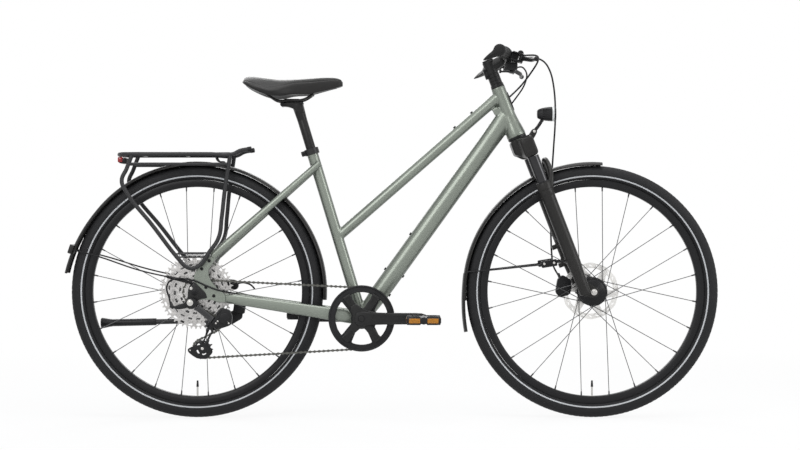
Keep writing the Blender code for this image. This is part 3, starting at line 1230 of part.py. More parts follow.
RIGHT_TANK_END = Vector((TANK_END.x, -TANK_END.y, TANK_END.z))
rear_hose = [RIGHT_TANK_END, RIGHT_TANK_END + Vector((0.001, 0.012, 0.001))]
rear_hose += [by_front_axle(*point) for point in
              ((-0.1630, 0.6550, -0.0440), (-0.1480, 0.6170, -0.0200), (-0.1780, 0.5670, -0.0060),
               (-0.2268, 0.5370, -0.0040))]
named("rear_brake_hose", bent_tube(smooth_route(rear_hose, 2), 0.0025, 6), "black_plastic",
      RIGHT_TANK_END)

shift = [pod_centre + Vector((0.0081, 0.0190, -0.0015)), pod_centre + Vector((0.0121, 0.0290, -0.0023))]
shift += [by_front_axle(*point) for point in
          ((-0.1900, 0.5990, -0.0700), (-0.1800, 0.5520, -0.0300), (-0.1960, 0.5190, 0.0020),
           (-0.2156, 0.5070, 0.0060))]
named("shift_cable", bent_tube(smooth_route(shift, 2), 0.0022, 6), "black_plastic",
      by_front_axle(-0.2156, 0.5070, 0))

tail = smooth_route([at(0.0250, 0.4020, -0.0786), at(-0.0080, 0.3950, -0.0840),
                     at(-0.0660, 0.3870, -0.0860), at(-0.0850, 0.3660, -0.0860),
                     at(-0.0800, 0.3400, -0.0860), at(-0.0580, 0.3200, -0.0860),
                     at(-0.0264, 0.3230, -0.0860)], 2)
named("derailleur_cable", bent_tube(tail, 0.0024, 6), "black_plastic", at(0.0200, 0.3960, -0.0840))
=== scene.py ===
"""A city bike in a plain bright studio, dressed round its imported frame.

Metres, +Z up, +X towards the front wheel, drive side at -Y, as in the frame.
"""

import json
import math

import bmesh
import bpy
from mathutils import Matrix, Vector

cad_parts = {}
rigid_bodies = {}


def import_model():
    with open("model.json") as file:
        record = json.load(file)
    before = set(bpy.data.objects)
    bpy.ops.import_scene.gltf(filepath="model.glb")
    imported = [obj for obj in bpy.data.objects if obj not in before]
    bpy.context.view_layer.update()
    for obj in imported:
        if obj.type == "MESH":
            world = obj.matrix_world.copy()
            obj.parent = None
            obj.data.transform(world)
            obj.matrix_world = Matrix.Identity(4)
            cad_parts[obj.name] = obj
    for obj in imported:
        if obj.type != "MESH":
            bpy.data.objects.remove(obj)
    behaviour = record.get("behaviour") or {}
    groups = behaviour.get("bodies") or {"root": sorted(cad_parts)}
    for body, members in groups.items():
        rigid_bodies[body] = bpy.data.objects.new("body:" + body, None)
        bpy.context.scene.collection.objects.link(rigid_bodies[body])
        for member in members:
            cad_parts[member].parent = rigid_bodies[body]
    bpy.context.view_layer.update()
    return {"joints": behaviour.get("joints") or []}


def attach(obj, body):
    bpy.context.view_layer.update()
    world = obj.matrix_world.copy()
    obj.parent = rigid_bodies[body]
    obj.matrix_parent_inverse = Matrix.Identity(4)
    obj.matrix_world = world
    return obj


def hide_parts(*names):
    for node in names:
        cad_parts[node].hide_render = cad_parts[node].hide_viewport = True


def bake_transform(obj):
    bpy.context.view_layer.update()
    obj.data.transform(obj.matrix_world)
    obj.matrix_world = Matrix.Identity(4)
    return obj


for old in list(bpy.data.objects):
    bpy.data.objects.remove(old)
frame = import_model()

# The studio: a pale floor and backdrop in one, soft lamps above and in front, and a long lens
# at the photograph's height. The floor and world turn white only for what looks at them.
bpy.context.scene.view_settings.view_transform = "Standard"
CAMERA_DISTANCE = 5.0
PHOTO_WIDTH_PIXELS = 800
METRES_PER_PIXEL = 0.00281
SENSOR_WIDTH = 36
LOOK_AT = (0.0262, 0.5396)
bpy.ops.object.camera_add(location=(LOOK_AT[0], -CAMERA_DISTANCE, LOOK_AT[1]),
                          rotation=(math.pi / 2, 0, 0))
camera = bpy.context.object
camera.data.sensor_width = SENSOR_WIDTH
camera.data.lens = SENSOR_WIDTH * CAMERA_DISTANCE / (PHOTO_WIDTH_PIXELS * METRES_PER_PIXEL)
bpy.context.scene.camera = camera


def seen_as_white(nodes, links, lit, output, near=1.0):
    """Mixes white light into a surface for camera, glossy and transmission rays only.

    The share is near beside the bike and rises to the whole a few metres away.
    """
    def maths(kind, first, second):
        node = nodes.new("ShaderNodeMath")
        node.operation = kind
        for socket, value in zip(node.inputs, (first, second)):
            if isinstance(value, bpy.types.NodeSocket):
                links.new(value, socket)
            else:
                socket.default_value = value
        return node.outputs[0]

    rays = nodes.new("ShaderNodeLightPath")
    looking = maths("MAXIMUM", rays.outputs["Is Camera Ray"], rays.outputs["Is Glossy Ray"])
    looking = maths("MAXIMUM", looking, rays.outputs["Is Transmission Ray"])
    share = near
    if near < 1:
        place = nodes.new("ShaderNodeTexCoord")
        length = nodes.new("ShaderNodeVectorMath")
        length.operation = "LENGTH"
        links.new(place.outputs["Object"], length.inputs[0])
        chart = nodes.new("ShaderNodeMapRange")
        chart.inputs["From Min"].default_value = 1.2
        chart.inputs["From Max"].default_value = 3.0
        chart.inputs["To Min"].default_value = near
        links.new(length.outputs["Value"], chart.inputs["Value"])
        share = chart.outputs["Result"]
    white = nodes.new("ShaderNodeEmission")
    mix = nodes.new("ShaderNodeMixShader")
    links.new(maths("MULTIPLY", looking, share), mix.inputs["Fac"])
    links.new(lit, mix.inputs[1])
    links.new(white.outputs[0], mix.inputs[2])
    links.new(mix.outputs[0], output)


bpy.ops.mesh.primitive_plane_add(size=30, location=(0, 0, -0.0005))
floor = bpy.context.object
floor.name = "studio_floor"
floor_paint = bpy.data.materials.new("studio_floor_paint")
floor_paint.use_nodes = True
floor_nodes, floor_links = floor_paint.node_tree.nodes, floor_paint.node_tree.links
floor_shader = floor_nodes["Principled BSDF"]
floor_shader.inputs["Base Color"].default_value = (0.86, 0.86, 0.86, 1)
floor_shader.inputs["Roughness"].default_value = 0.9
seen_as_white(floor_nodes, floor_links, floor_shader.outputs[0],
              floor_nodes["Material Output"].inputs["Surface"], 0.88)
floor.data.materials.append(floor_paint)

world = bpy.data.worlds.new("studio_air")
bpy.context.scene.world = world
world.use_nodes = True
world_nodes, world_links = world.node_tree.nodes, world.node_tree.links
air = world_nodes["Background"]
air.inputs["Color"].default_value = (0.8, 0.84, 0.9, 1)
air.inputs["Strength"].default_value = 0.4
seen_as_white(world_nodes, world_links, air.outputs[0], world_nodes["World Output"].inputs["Surface"])

# place, size, power and what each lamp looks at
LAMPS = {"top_softbox": ((0.2, -0.6, 3.2), 2.6, 62, (0, 0, 0.5)),
         "front_softbox": ((-1.6, -3.2, 2.2), 1.8, 42, (0, 0, 0.5)),
         "nose_softbox": ((3.0, -1.4, 1.6), 1.4, 26, (0.3, 0, 0.6)),
         "back_softbox": ((-0.5, 3.0, 2.4), 2.2, 45, (0, 0, 0.5))}
for lamp_name, (place, lamp_size, power, target) in LAMPS.items():
    aim = (Vector(target) - Vector(place)).to_track_quat("-Z", "Y").to_euler()
    bpy.ops.object.light_add(type="AREA", location=place, rotation=aim)
    lamp = bpy.context.object
    lamp.name = lamp_name
    lamp.data.size = lamp_size
    lamp.data.energy = power

# The front part of the frame: three aluminium tubes welded to a tapered head tube and a bottom
# bracket shell, then painted in a satin metallic sage. The tubes are drawn, joined and smoothed
# over their welds, and bored for the fork, the seatpost and the crank axle.
joints = {joint["name"]: joint for joint in frame["joints"]}
rear_axle = Vector(joints["rear_wheel_spin"]["pos_m"])
front_axle = Vector(joints["front_wheel_spin"]["pos_m"])
bottom_bracket = Vector(joints["crank_spin"]["pos_m"])
steer_up = Vector(joints["steering_turn"]["axis"]).normalized()
steer_forward = Vector((steer_up.z, 0, -steer_up.x))
seat_up = Vector(joints["seatpost_height"]["axis"]).normalized()
seat_forward = Vector((seat_up.z, 0, -seat_up.x))
HEAD_LOW = 0.4815
HEAD_LENGTH = 0.148
SEAT_TUBE_LENGTH = 0.494
HEAD_LEAN, SEAT_LEAN = math.radians(-21), math.radians(-16.84)


def steerer(up, forward=0.0, left=0.0):
    """A place on the steering axis, up from beside the front axle, moved forward and left."""
    foot = Vector(joints["steering_turn"]["pos_m"]) - steer_up * HEAD_LOW
    return foot + steer_up * up + steer_forward * forward + Vector((0, left, 0))


def seat_tube_at(up, forward=0.0, left=0.0):
    """A place on the seat tube's axis, up from the bottom bracket."""
    return bottom_bracket + seat_up * up + seat_forward * forward + Vector((0, left, 0))


def deselect():
    """Clears the selection."""
    bpy.ops.object.select_all(action="DESELECT")


def only(piece):
    """Makes a piece the one that is selected and active."""
    deselect()
    piece.select_set(True)
    bpy.context.view_layer.objects.active = piece
    return piece


def joined(*pieces):
    """Pieces made into one object."""
    deselect()
    for piece in pieces:
        piece.select_set(True)
    bpy.context.view_layer.objects.active = pieces[0]
    bpy.ops.object.join()
    return bpy.context.object


def shaped(piece, kind, **settings):
    """A piece after one modifier with these settings is applied."""
    only(piece)
    modifier = piece.modifiers.new(kind.lower(), kind)
    for setting, value in settings.items():
        setattr(modifier, setting, value)
    bpy.ops.object.modifier_apply(modifier=modifier.name)
    return piece


def tidied(piece, weld=1e-6):
    """A piece with its doubles merged and its faces turned outwards."""
    only(piece)
    bpy.ops.object.mode_set(mode="EDIT")
    bpy.ops.mesh.select_all(action="SELECT")
    bpy.ops.mesh.remove_doubles(threshold=weld)
    bpy.ops.mesh.normals_make_consistent(inside=False)
    bpy.ops.object.mode_set(mode="OBJECT")
    return piece


def ring(centre, along, depth, width, count):
    """Points of an oval across a direction, deep in the bike's plane and wide across it."""
    along = Vector(along).normalized()
    deep = Vector((0, 1, 0)).cross(along).normalized()
    aside = along.cross(deep)
    return [centre + deep * depth / 2 * math.cos(a) + aside * width / 2 * math.sin(a)
            for a in (math.tau * i / count for i in range(count))]


def skinned(rings, capped=True):
    """A skin over rings of points: circles moved onto the points, each bridged to the next."""
    count = len(rings[0])
    deselect()
    bpy.ops.mesh.primitive_circle_add(vertices=count)
    skin = bpy.context.object
    skin.location = (0, 0, 0)
    bpy.ops.object.mode_set(mode="EDIT")
    for i, points in enumerate(rings):
        if i:
            bpy.ops.mesh.primitive_circle_add(vertices=count)
        cage = bmesh.from_edit_mesh(skin.data)
        cage.verts.ensure_lookup_table()
        for j, point in enumerate(points):
            cage.verts[i * count + j].co = point
        if i:
            for vertex in cage.verts[(i - 1) * count:]:
                vertex.select_set(True)
            for edge in cage.edges:
                edge.select_set(all(v.index >= (i - 1) * count for v in edge.verts)
                                and len(edge.link_faces) < 2)
            bmesh.update_edit_mesh(skin.data)
            bpy.ops.mesh.bridge_edge_loops()
    if capped:
        for low, high in ((0, count), ((len(rings) - 1) * count, len(rings) * count)):
            bpy.ops.mesh.select_all(action="DESELECT")
            cage = bmesh.from_edit_mesh(skin.data)
            cage.verts.ensure_lookup_table()
            for vertex in cage.verts[low:high]:
                vertex.select_set(True)
            cage.select_flush(True)
            bmesh.update_edit_mesh(skin.data)
            bpy.ops.mesh.edge_face_add()
    bpy.ops.object.mode_set(mode="OBJECT")
    return tidied(skin)


def rod(start, end, radius, sides, end_radius=None, bevel=0.0):
    """A straight bar between two places, with rounded ends if a bevel is given."""
    start, end = Vector(start), Vector(end)
    deselect()
    bpy.ops.mesh.primitive_cone_add(vertices=sides, radius1=radius, depth=(end - start).length,
                                    radius2=radius if end_radius is None else end_radius)
    bar = bpy.context.object
    turn = (end - start).to_track_quat("Z", "Y").to_matrix().to_4x4()
    bar.matrix_world = Matrix.Translation((start + end) / 2) @ turn
    only(bar)
    bpy.ops.object.transform_apply()
    if bevel:
        shaped(bar, "BEVEL", width=bevel, segments=3, limit_method="ANGLE", angle_limit=0.9)
    return bar


def across(centre, near, far, radius, sides=32, bevel=0.0):
    """A round bar across the bike, between two distances to the left of its middle."""
    return rod(centre + Vector((0, near, 0)), centre + Vector((0, far, 0)), radius, sides, bevel=bevel)


def spun(profile, centre, axis=(0, 1, 0), steps=96, looped=True):
    """A profile of (radius, place along the axis) spun round an axle."""
    axis = Vector(axis).normalized()
    out = axis.orthogonal().normalized()
    count = len(profile)
    deselect()
    bpy.ops.mesh.primitive_circle_add(vertices=count)
    turned = bpy.context.object
    turned.location = (0, 0, 0)
    for vertex, (radius, along) in zip(turned.data.vertices, profile):
        vertex.co = Vector(centre) + axis * along + out * radius
    bpy.ops.object.mode_set(mode="EDIT")
    if not looped:
        cage = bmesh.from_edit_mesh(turned.data)
        cage.verts.ensure_lookup_table()
        last = cage.edges.get((cage.verts[count - 1], cage.verts[0]))
        for edge in cage.edges:
            edge.select_set(edge is last)
        bmesh.update_edit_mesh(turned.data)
        bpy.ops.mesh.delete(type="EDGE")
    bpy.ops.mesh.select_all(action="SELECT")
    bpy.ops.mesh.spin(steps=steps, angle=math.tau, center=centre, axis=axis)
    bpy.ops.object.mode_set(mode="OBJECT")
    return tidied(turned, 1e-5)


def slab(outline, near, far, bevel=0.0, segments=2):
    """A flat piece: an outline in the bike's plane, filled, drawn out to its thickness and eased."""
    deselect()
    bpy.ops.mesh.primitive_circle_add(vertices=len(outline), fill_type="NGON")
    flat = bpy.context.object
    flat.location = (0, 0, 0)
    for vertex, point in zip(flat.data.vertices, outline):
        vertex.co = (point[0], near, point[-1])
    bpy.ops.object.mode_set(mode="EDIT")
    bpy.ops.mesh.select_all(action="SELECT")
    bpy.ops.mesh.extrude_region_move(TRANSFORM_OT_translate={"value": (0, far - near, 0)})
    bpy.ops.object.mode_set(mode="OBJECT")
    tidied(flat)
    if bevel:
        shaped(flat, "BEVEL", width=bevel, segments=segments, limit_method="ANGLE", angle_limit=0.6)
    return flat


def cut(piece, *tools):
    """A piece with the tools' shapes taken out of it."""
    for tool in tools:
        shaped(piece, "BOOLEAN", operation="DIFFERENCE", object=tool, solver="EXACT")
        bpy.data.objects.remove(tool)
    return piece


def fused(piece, voxel, rounds):
    """Overlapping shapes made one skin, drawn back onto them away from the fillets where they meet."""
    only(piece)
    bpy.ops.object.duplicate()
    shapes = bpy.context.object
    only(piece)
    piece.data.remesh_voxel_size = voxel
    piece.data.remesh_voxel_adaptivity = 0
    bpy.ops.object.voxel_remesh()
    shaped(piece, "SMOOTH", factor=0.5, iterations=rounds)
    near = piece.vertex_groups.new(name="near")
    near.add(range(len(piece.data.vertices)), 1.0, "REPLACE")
    shaped(piece, "VERTEX_WEIGHT_PROXIMITY", vertex_group="near", target=shapes, min_dist=voxel * 0.55,
           proximity_mode="GEOMETRY", proximity_geometry={"FACE"}, max_dist=voxel * 0.25)
    shaped(piece, "SHRINKWRAP", target=shapes, wrap_method="NEAREST_SURFACEPOINT", vertex_group="near")
    bpy.data.objects.remove(shapes)
    return shaped(piece, "SMOOTH", factor=0.4, iterations=3)


def fitted(piece, finish, name, body, nodes=(), angle=35):
    """Gives a piece its finish and its name, and hands it to its body in place of its CAD nodes."""
    piece.data.materials.append(finish)
    piece.name = piece.data.name = name
    only(piece)
    bpy.ops.object.shade_smooth_by_angle(angle=math.radians(angle))
    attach(piece, body)
    if nodes:
        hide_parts(*nodes)


def surface(name, colour, roughness, metallic=0.0, cloud=(9, 0.07), *, grain, relief=0.0,
            grazing_shade=None, wear=None, coat=0.0, specular=0.22):
    """A Principled finish whose colour drifts over the piece, with a fine grain in gloss and relief.

    The grazing colour is painted shade, which darkens or tints the piece towards grazing angles, and
    wear lightens its sharp edges.
    """
    material = bpy.data.materials.new(name)
    material.use_nodes = True
    nodes, links = material.node_tree.nodes, material.node_tree.links
    shader = nodes["Principled BSDF"]
    shader.inputs["Metallic"].default_value = metallic
    shader.inputs["Coat Weight"].default_value = coat
    shader.inputs["Specular IOR Level"].default_value = specular
    place = nodes.new("ShaderNodeTexCoord")

    def noise(scale, detail):
        texture = nodes.new("ShaderNodeTexNoise")
        texture.inputs["Scale"].default_value = scale
        texture.inputs["Detail"].default_value = detail
        links.new(place.outputs["Object"], texture.inputs["Vector"])
        return texture.outputs["Fac"]

    def spread(source, low, high):
        chart = nodes.new("ShaderNodeMapRange")
        chart.inputs["From Min"].default_value = 0.3
        chart.inputs["From Max"].default_value = 0.7
        chart.inputs["To Min"].default_value = low
        chart.inputs["To Max"].default_value = high
        links.new(source, chart.inputs["Value"])
        return chart.outputs["Result"]

    def mixed(factor, first, second, mode="MIX"):
        mix = nodes.new("ShaderNodeMix")
        mix.data_type = "RGBA"
        mix.blend_type = mode
        for socket, value in ((mix.inputs[0], factor), (mix.inputs[6], first), (mix.inputs[7], second)):
            if isinstance(value, bpy.types.NodeSocket):
                links.new(value, socket)
            else:
                socket.default_value = value
        return mix.outputs[2]

    low = [c * (1 - cloud[1]) for c in colour]
    high = [c * (1 + cloud[1]) for c in colour]
    tone = mixed(spread(noise(cloud[0], 3), 0, 1), (*low, 1), (*high, 1))
    # Painted shade: towards grazing angles the colour turns to the darker grazing colour.
    if grazing_shade:
        facing = nodes.new("ShaderNodeLayerWeight")
        facing.inputs["Blend"].default_value = 0.35
        tone = mixed(facing.outputs["Facing"], tone, (*grazing_shade, 1))
    if wear:
        sharpness = nodes.new("ShaderNodeNewGeometry").outputs["Pointiness"]
        chart = nodes.new("ShaderNodeMapRange")
        chart.inputs["From Min"].default_value = 0.52
        chart.inputs["From Max"].default_value = 0.62
        chart.inputs["To Max"].default_value = 0.5
        links.new(sharpness, chart.inputs["Value"])
        tone = mixed(chart.outputs["Result"], tone, (*wear, 1))
    links.new(tone, shader.inputs["Base Color"])
    fine = noise(grain[0], 2)
    links.new(spread(fine, roughness - grain[1], roughness + grain[1]), shader.inputs["Roughness"])
    if relief:
        bump = nodes.new("ShaderNodeBump")
        bump.inputs["Distance"].default_value = relief
        bump.inputs["Strength"].default_value = 0.6
        links.new(fine, bump.inputs["Height"])
        links.new(bump.outputs[0], shader.inputs["Normal"])
    return material


SAGE = (0.222, 0.246, 0.21)
# Painted shade: the darker colour that the sage paint turns towards at the tubes' grazing edges.
SAGE_GRAZING_SHADE = (0.06, 0.068, 0.062)
sage_paint = surface("sage_metallic_paint", SAGE, 0.33, 0.55, cloud=(5, 0.05), grain=(1500, 0.06),
                     relief=0.00002, grazing_shade=SAGE_GRAZING_SHADE, coat=0.25, specular=0.5)

HEAD_TUBE = (
    (0, 0), (0.027, 0), (0.027, 0.008), (0.0255, 0.02), (0.0222, 0.04), (0.0198, 0.062), (0.0195, 0.09),
    (0.0195, HEAD_LENGTH), (0, HEAD_LENGTH))
head_tube = spun(HEAD_TUBE, steerer(HEAD_LOW), steer_up, 128, looped=False)
shell = across(bottom_bracket, -0.0365, 0.0365, 0.0215, 96)
seat_tube = rod(bottom_bracket, seat_tube_at(SEAT_TUBE_LENGTH), 0.0158, 96)
down_end = steerer(HEAD_LOW + 0.067)
down_way = down_end - bottom_bracket
down_tube = skinned([ring(bottom_bracket + down_way * t, down_way, deep, wide, 96)
                     for t, deep, wide in (
                         (0, 0.04, 0.042), (0.05, 0.045, 0.043), (0.12, 0.052, 0.044),
                         (0.5, 0.0525, 0.044), (0.85, 0.052, 0.043), (0.94, 0.054, 0.038),
                         (1.0, 0.056, 0.034))])
top_end = steerer(HEAD_LOW + HEAD_LENGTH - 0.022)
top_start = seat_tube_at(0.236)
top_way = top_end - top_start
top_tube = skinned([ring(top_start + top_way * t, top_way, deep, wide, 96)
                    for t, deep, wide in (
                        (0, 0.0285, 0.0275), (0.1, 0.03, 0.029), (0.5, 0.0302, 0.0292),
                        (0.9, 0.031, 0.0295), (1.0, 0.034, 0.03))])
gusset = slab([steerer(*p) for p in (
    (HEAD_LOW + 0.086, -0.01), (HEAD_LOW + 0.098, -0.024), (HEAD_LOW + 0.096, -0.038),
    (HEAD_LOW + 0.08, -0.036), (HEAD_LOW + 0.07, -0.024))], -0.012, 0.012)


def cable_boss(start, way, along, out):
    """A low round boss on a tube."""
    way = Vector(way).normalized()
    normal = Vector((-way.z, 0, way.x)) * (1 if out > 0 else -1)
    foot = start + way * along
    return rod(foot + normal * (abs(out) - 0.004), foot + normal * (abs(out) + 0.0018), 0.0062, 20)


BOSSES = [(bottom_bracket, down_way, along, out) for along, out in
          ((0.149, 0.0245), (0.27, 0.0245), (0.096, -0.024), (0.161, -0.024))]
BOSSES += [(top_start, top_way, 0.45, 0.014), (top_start, top_way, 0.513, 0.014)]
front_frame = joined(head_tube, shell, seat_tube, down_tube, top_tube, gusset,
                     *[cable_boss(*boss) for boss in BOSSES])
front_frame = fused(front_frame, 0.0022, 8)
front_frame = cut(front_frame, rod(seat_tube_at(0.27), seat_tube_at(0.51), 0.0141, 48),
                  rod(steerer(HEAD_LOW - 0.01), steerer(HEAD_LOW + HEAD_LENGTH + 0.01), 0.015, 40),
                  across(bottom_bracket, -0.05, 0.05, 0.0128, 40))
fitted(front_frame, sage_paint, "front_frame", "frame", ["main_frame"], 40)

# Screws of the bosses: small black steel heads with hexagon sockets close the threaded bosses on
# the down and top tubes, as nothing is hung on them.
BLACK_STEEL = (0.013, 0.013, 0.014)
black_steel = surface("black_steel", BLACK_STEEL, 0.35, 0.6, grain=(900, 0.08), wear=(0.1, 0.1, 0.1))
screws = []
for start, way, along, out in BOSSES:
    way = Vector(way).normalized()
    normal = Vector((-way.z, 0, way.x)) * (1 if out > 0 else -1)
    foot = start + way * along + normal * (abs(out) + 0.0018)
    head = rod(foot, foot + normal * 0.003, 0.0042, 24, bevel=0.0008)
    screws.append(cut(head, rod(foot + normal * 0.0012, foot + normal * 0.005, 0.0019, 6)))
fitted(joined(*screws), black_steel, "boss_screws", "frame")

# The rear triangle: ovalised chainstays and seatstays run into flat cast dropouts that carry the
# hub, the brake and the rack. Two cross tubes brace it, and it is painted as one.


def at(ahead, height, left=0.0):
    """A place ahead of the rear axle, above the ground and left of the bike's middle."""
    return Vector((rear_axle.x + ahead, left, height))


CHAINSTAY_PLAN = (
    (0.054, 0.0655), (0.07, 0.064), (0.14, 0.057), (0.24, 0.0475), (0.31, 0.0415), (0.38, 0.037),
    (0.42, 0.0325), (0.444, 0.0285))
STAY_FOOT = at(0.048, rear_axle.z + 0.099, 0.07)
STAY_HEAD = seat_tube_at(0.443, 0.0, 0.0235)
DROPOUT_NEAR, DROPOUT_FAR, CHAINSTAY_FALL = 0.0675, 0.0755, 0.155
YOKE = ((0.048, 0.105), (0.059, 0.096), (0.05, 0.08), (0.039, 0.064), (0.0385, 0.048),
        (0.0435, 0.035), (0.052, 0.023), (0.065, 0.008), (0.078, 0.0005), (0.086, -0.01),
        (0.086, -0.028), (0.064, -0.0275), (0.048, -0.021), (0.03, -0.02), (0.01, -0.021),
        (-0.01, -0.019), (-0.015, -0.002), (-0.011, 0.016), (-0.002, 0.027), (-0.001, 0.048),
        (0.006, 0.064), (0.024, 0.088))


def rear_side(side):
    """One side of the rear triangle: chainstay, seatstay and dropout."""
    rings = []
    for i, (x, y) in enumerate(CHAINSTAY_PLAN):
        height = rear_axle.z - 0.013 - (x - 0.066) * CHAINSTAY_FALL
        before = CHAINSTAY_PLAN[max(0, i - 1)]
        after = CHAINSTAY_PLAN[min(len(CHAINSTAY_PLAN) - 1, i + 1)]
        along = Vector((after[0] - before[0], side * (after[1] - before[1]),
                        -(after[0] - before[0]) * CHAINSTAY_FALL))
        rings.append(ring(at(x, height, side * y), along, 0.026 + 0.01 * (x - 0.066) / 0.31, 0.017, 80))
    chainstay = skinned(rings)
    foot = Vector((STAY_FOOT.x, side * STAY_FOOT.y, STAY_FOOT.z))
    head = Vector((STAY_HEAD.x, side * STAY_HEAD.y, STAY_HEAD.z))
    up = (head - foot).normalized()
    seatstay = skinned([ring(foot.lerp(head, t) + Vector((0, -side * inward, 0)), up, deep, 0.017, 72)
                        for t, inward, deep in (
                            (0, 0, 0.0235), (0.08, 0.002, 0.0235), (0.25, 0.004, 0.0225),
                            (0.6, 0.002, 0.0205), (1.0, 0, 0.019), (1.035, 0, 0.019))])
    plate_edge = [at(x, rear_axle.z + z) for x, z in YOKE]
    plate = slab(plate_edge, side * DROPOUT_NEAR, side * DROPOUT_FAR)
    return [chainstay, seatstay, plate]


bridge = STAY_FOOT.lerp(STAY_HEAD, 0.8)
stay_bridge = rod((bridge.x, -0.034, bridge.z), (bridge.x, 0.034, bridge.z), 0.007, 56)
chain_bridge = across(at(0.395, rear_axle.z - 0.064), -0.038, 0.038, 0.008, 56)
rear_frame = joined(*rear_side(-1), *rear_side(1), stay_bridge, chain_bridge)
rear_frame = fused(rear_frame, 0.0016, 7)
rear_frame = cut(rear_frame, across(rear_axle, -0.09, 0.09, 0.0054))
fitted(rear_frame, sage_paint, "rear_frame", "frame", ["rear_triangle"], 40)

# Tyres and rims: black double-wall rims and wide tyres, whose sidewalls carry a reflecting band
# and whose tread is pressed in fine blocks. Both are spun from their section.
TYRE_HALF = 0.021
TYRE_SECTION = (
    (0.3143, 0.0105), (0.3165, 0.015), (0.32, 0.0182), (0.3255, 0.0203), (0.331, 0.0209),
    (0.337, 0.0203), (0.342, 0.0186), (0.3455, 0.0172), (0.349, 0.0143), (0.3515, 0.01),
    (0.3527, 0.0052), (0.353, 0.0))
RIM_SECTION = (
    (0.2932, 0.005), (0.2938, 0.0085), (0.2964, 0.0108), (0.306, 0.0119), (0.311, 0.0117),
    (0.3138, 0.011), (0.3138, 0.0096))
STRIPE_FROM, STRIPE_TO, STRIPE_TONE = 0.3217, 0.3254, (0.52, 0.53, 0.54, 1)
TREAD_FROM, TREAD_DEPTH, TREAD_ROWS = 0.344, 0.0011, 150


def both_sides(section):
    """A half section and its mirror image, as one closed loop."""
    mirror = [(radius, -y) for radius, y in section[::-1] if y]
    return list(section) + mirror


def tyre_rubber():
    """Black rubber with a pale reflecting band on each sidewall, placed by the stored radius."""
    material = surface("tyre_rubber", (0.014, 0.014, 0.015), 0.62, grain=(500, 0.08), relief=0.00012)
    nodes, links = material.node_tree.nodes, material.node_tree.links
    tone = nodes["Principled BSDF"].inputs["Base Color"]
    radius = nodes.new("ShaderNodeAttribute")
    radius.attribute_name = "tyre_radius"
    band = nodes.new("ShaderNodeMath")
    band.operation = "COMPARE"
    links.new(radius.outputs["Fac"], band.inputs[0])
    band.inputs[1].default_value = (STRIPE_FROM + STRIPE_TO) / 2
    band.inputs[2].default_value = (STRIPE_TO - STRIPE_FROM) / 2
    mix = nodes.new("ShaderNodeMix")
    mix.data_type = "RGBA"
    links.new(band.outputs[0], mix.inputs[0])
    links.new(tone.links[0].from_socket, mix.inputs[6])
    mix.inputs[7].default_value = STRIPE_TONE
    links.new(mix.outputs[2], tone)
    return material


tyre_finish = tyre_rubber()
rim_finish = surface("black_anodised_rim", (0.012, 0.012, 0.013), 0.38, 0.15, grain=(400, 0.05))


def treaded(tyre, centre):
    """Presses the block pattern into the tyre's shoulders and crown, and stores each point's radius."""
    radii = tyre.data.attributes.new("tyre_radius", "FLOAT", "POINT")
    for vertex, stored in zip(tyre.data.vertices, radii.data):
        out = vertex.co - centre
        radius = math.hypot(out.x, out.z)
        if radius > TREAD_FROM:
            turn = math.atan2(out.z, out.x) * TREAD_ROWS / math.tau
            lean = abs(out.y) / TYRE_HALF
            groove = 0.5 + 0.5 * math.cos(math.tau * (turn + lean))
            depth = TREAD_DEPTH * (groove > 0.72) * min(1, (radius - TREAD_FROM) / 0.002)
            vertex.co.x -= out.x / radius * depth
            vertex.co.z -= out.z / radius * depth
            radius -= depth
        stored.value = radius
    return tyre


for end, centre in (("rear", rear_axle), ("front", front_axle)):
    tyre = treaded(spun(both_sides(TYRE_SECTION), centre, steps=TREAD_ROWS * 4), centre)
    fitted(tyre, tyre_finish, f"{end}_tyre_shell", f"{end}_wheel", [f"{end}_tyre"], 50)
    fitted(spun(both_sides(RIM_SECTION), centre, steps=180), rim_finish, f"{end}_rim_hoop",
           f"{end}_wheel", [f"{end}_rim"])

# Hubs, spokes and brake discs: black alloy hub shells, the front one a wide dynamo, laced with 24
# crossed steel spokes in black nipples, and pierced discs held by lockrings beside the left
# flanges. Each rim has its valve and cap.


def around(centre, radius, angle, left=0.0):
    """A place on a circle about an axle, the angle rising from the front towards the top."""
    return centre + Vector((radius * math.cos(angle), left, radius * math.sin(angle)))


def circle(centre, radius, count):
    """Points of a circle in the bike's plane."""
    return [around(centre, radius, math.tau * i / count) for i in range(count)]


def plate(loops, near, far, ease=0.0):
    """A flat piece in the bike's plane from its edge and its holes, with its rims eased."""
    deselect()
    bpy.ops.curve.primitive_bezier_circle_add()
    flat = bpy.context.object
    flat.matrix_world = (Matrix.Translation((0, (near + far) / 2, 0))
                         @ Matrix.Rotation(math.pi / 2, 4, "X"))
    flat.data.splines.clear()
    flat.data.dimensions = "2D"
    flat.data.fill_mode = "BOTH"
    flat.data.extrude = abs(far - near) / 2 - ease
    flat.data.bevel_depth = ease
    flat.data.offset = -ease
    for loop in loops:
        spline = flat.data.splines.new("POLY")
        spline.points.add(len(loop) - 1)
        for knot, point in zip(spline.points, loop):
            knot.co = (point[0], point[-1], 0, 1)
        spline.use_cyclic_u = True
    only(flat)
    bpy.ops.object.convert(target="MESH")
    bpy.ops.object.transform_apply()
    return tidied(bpy.context.object)


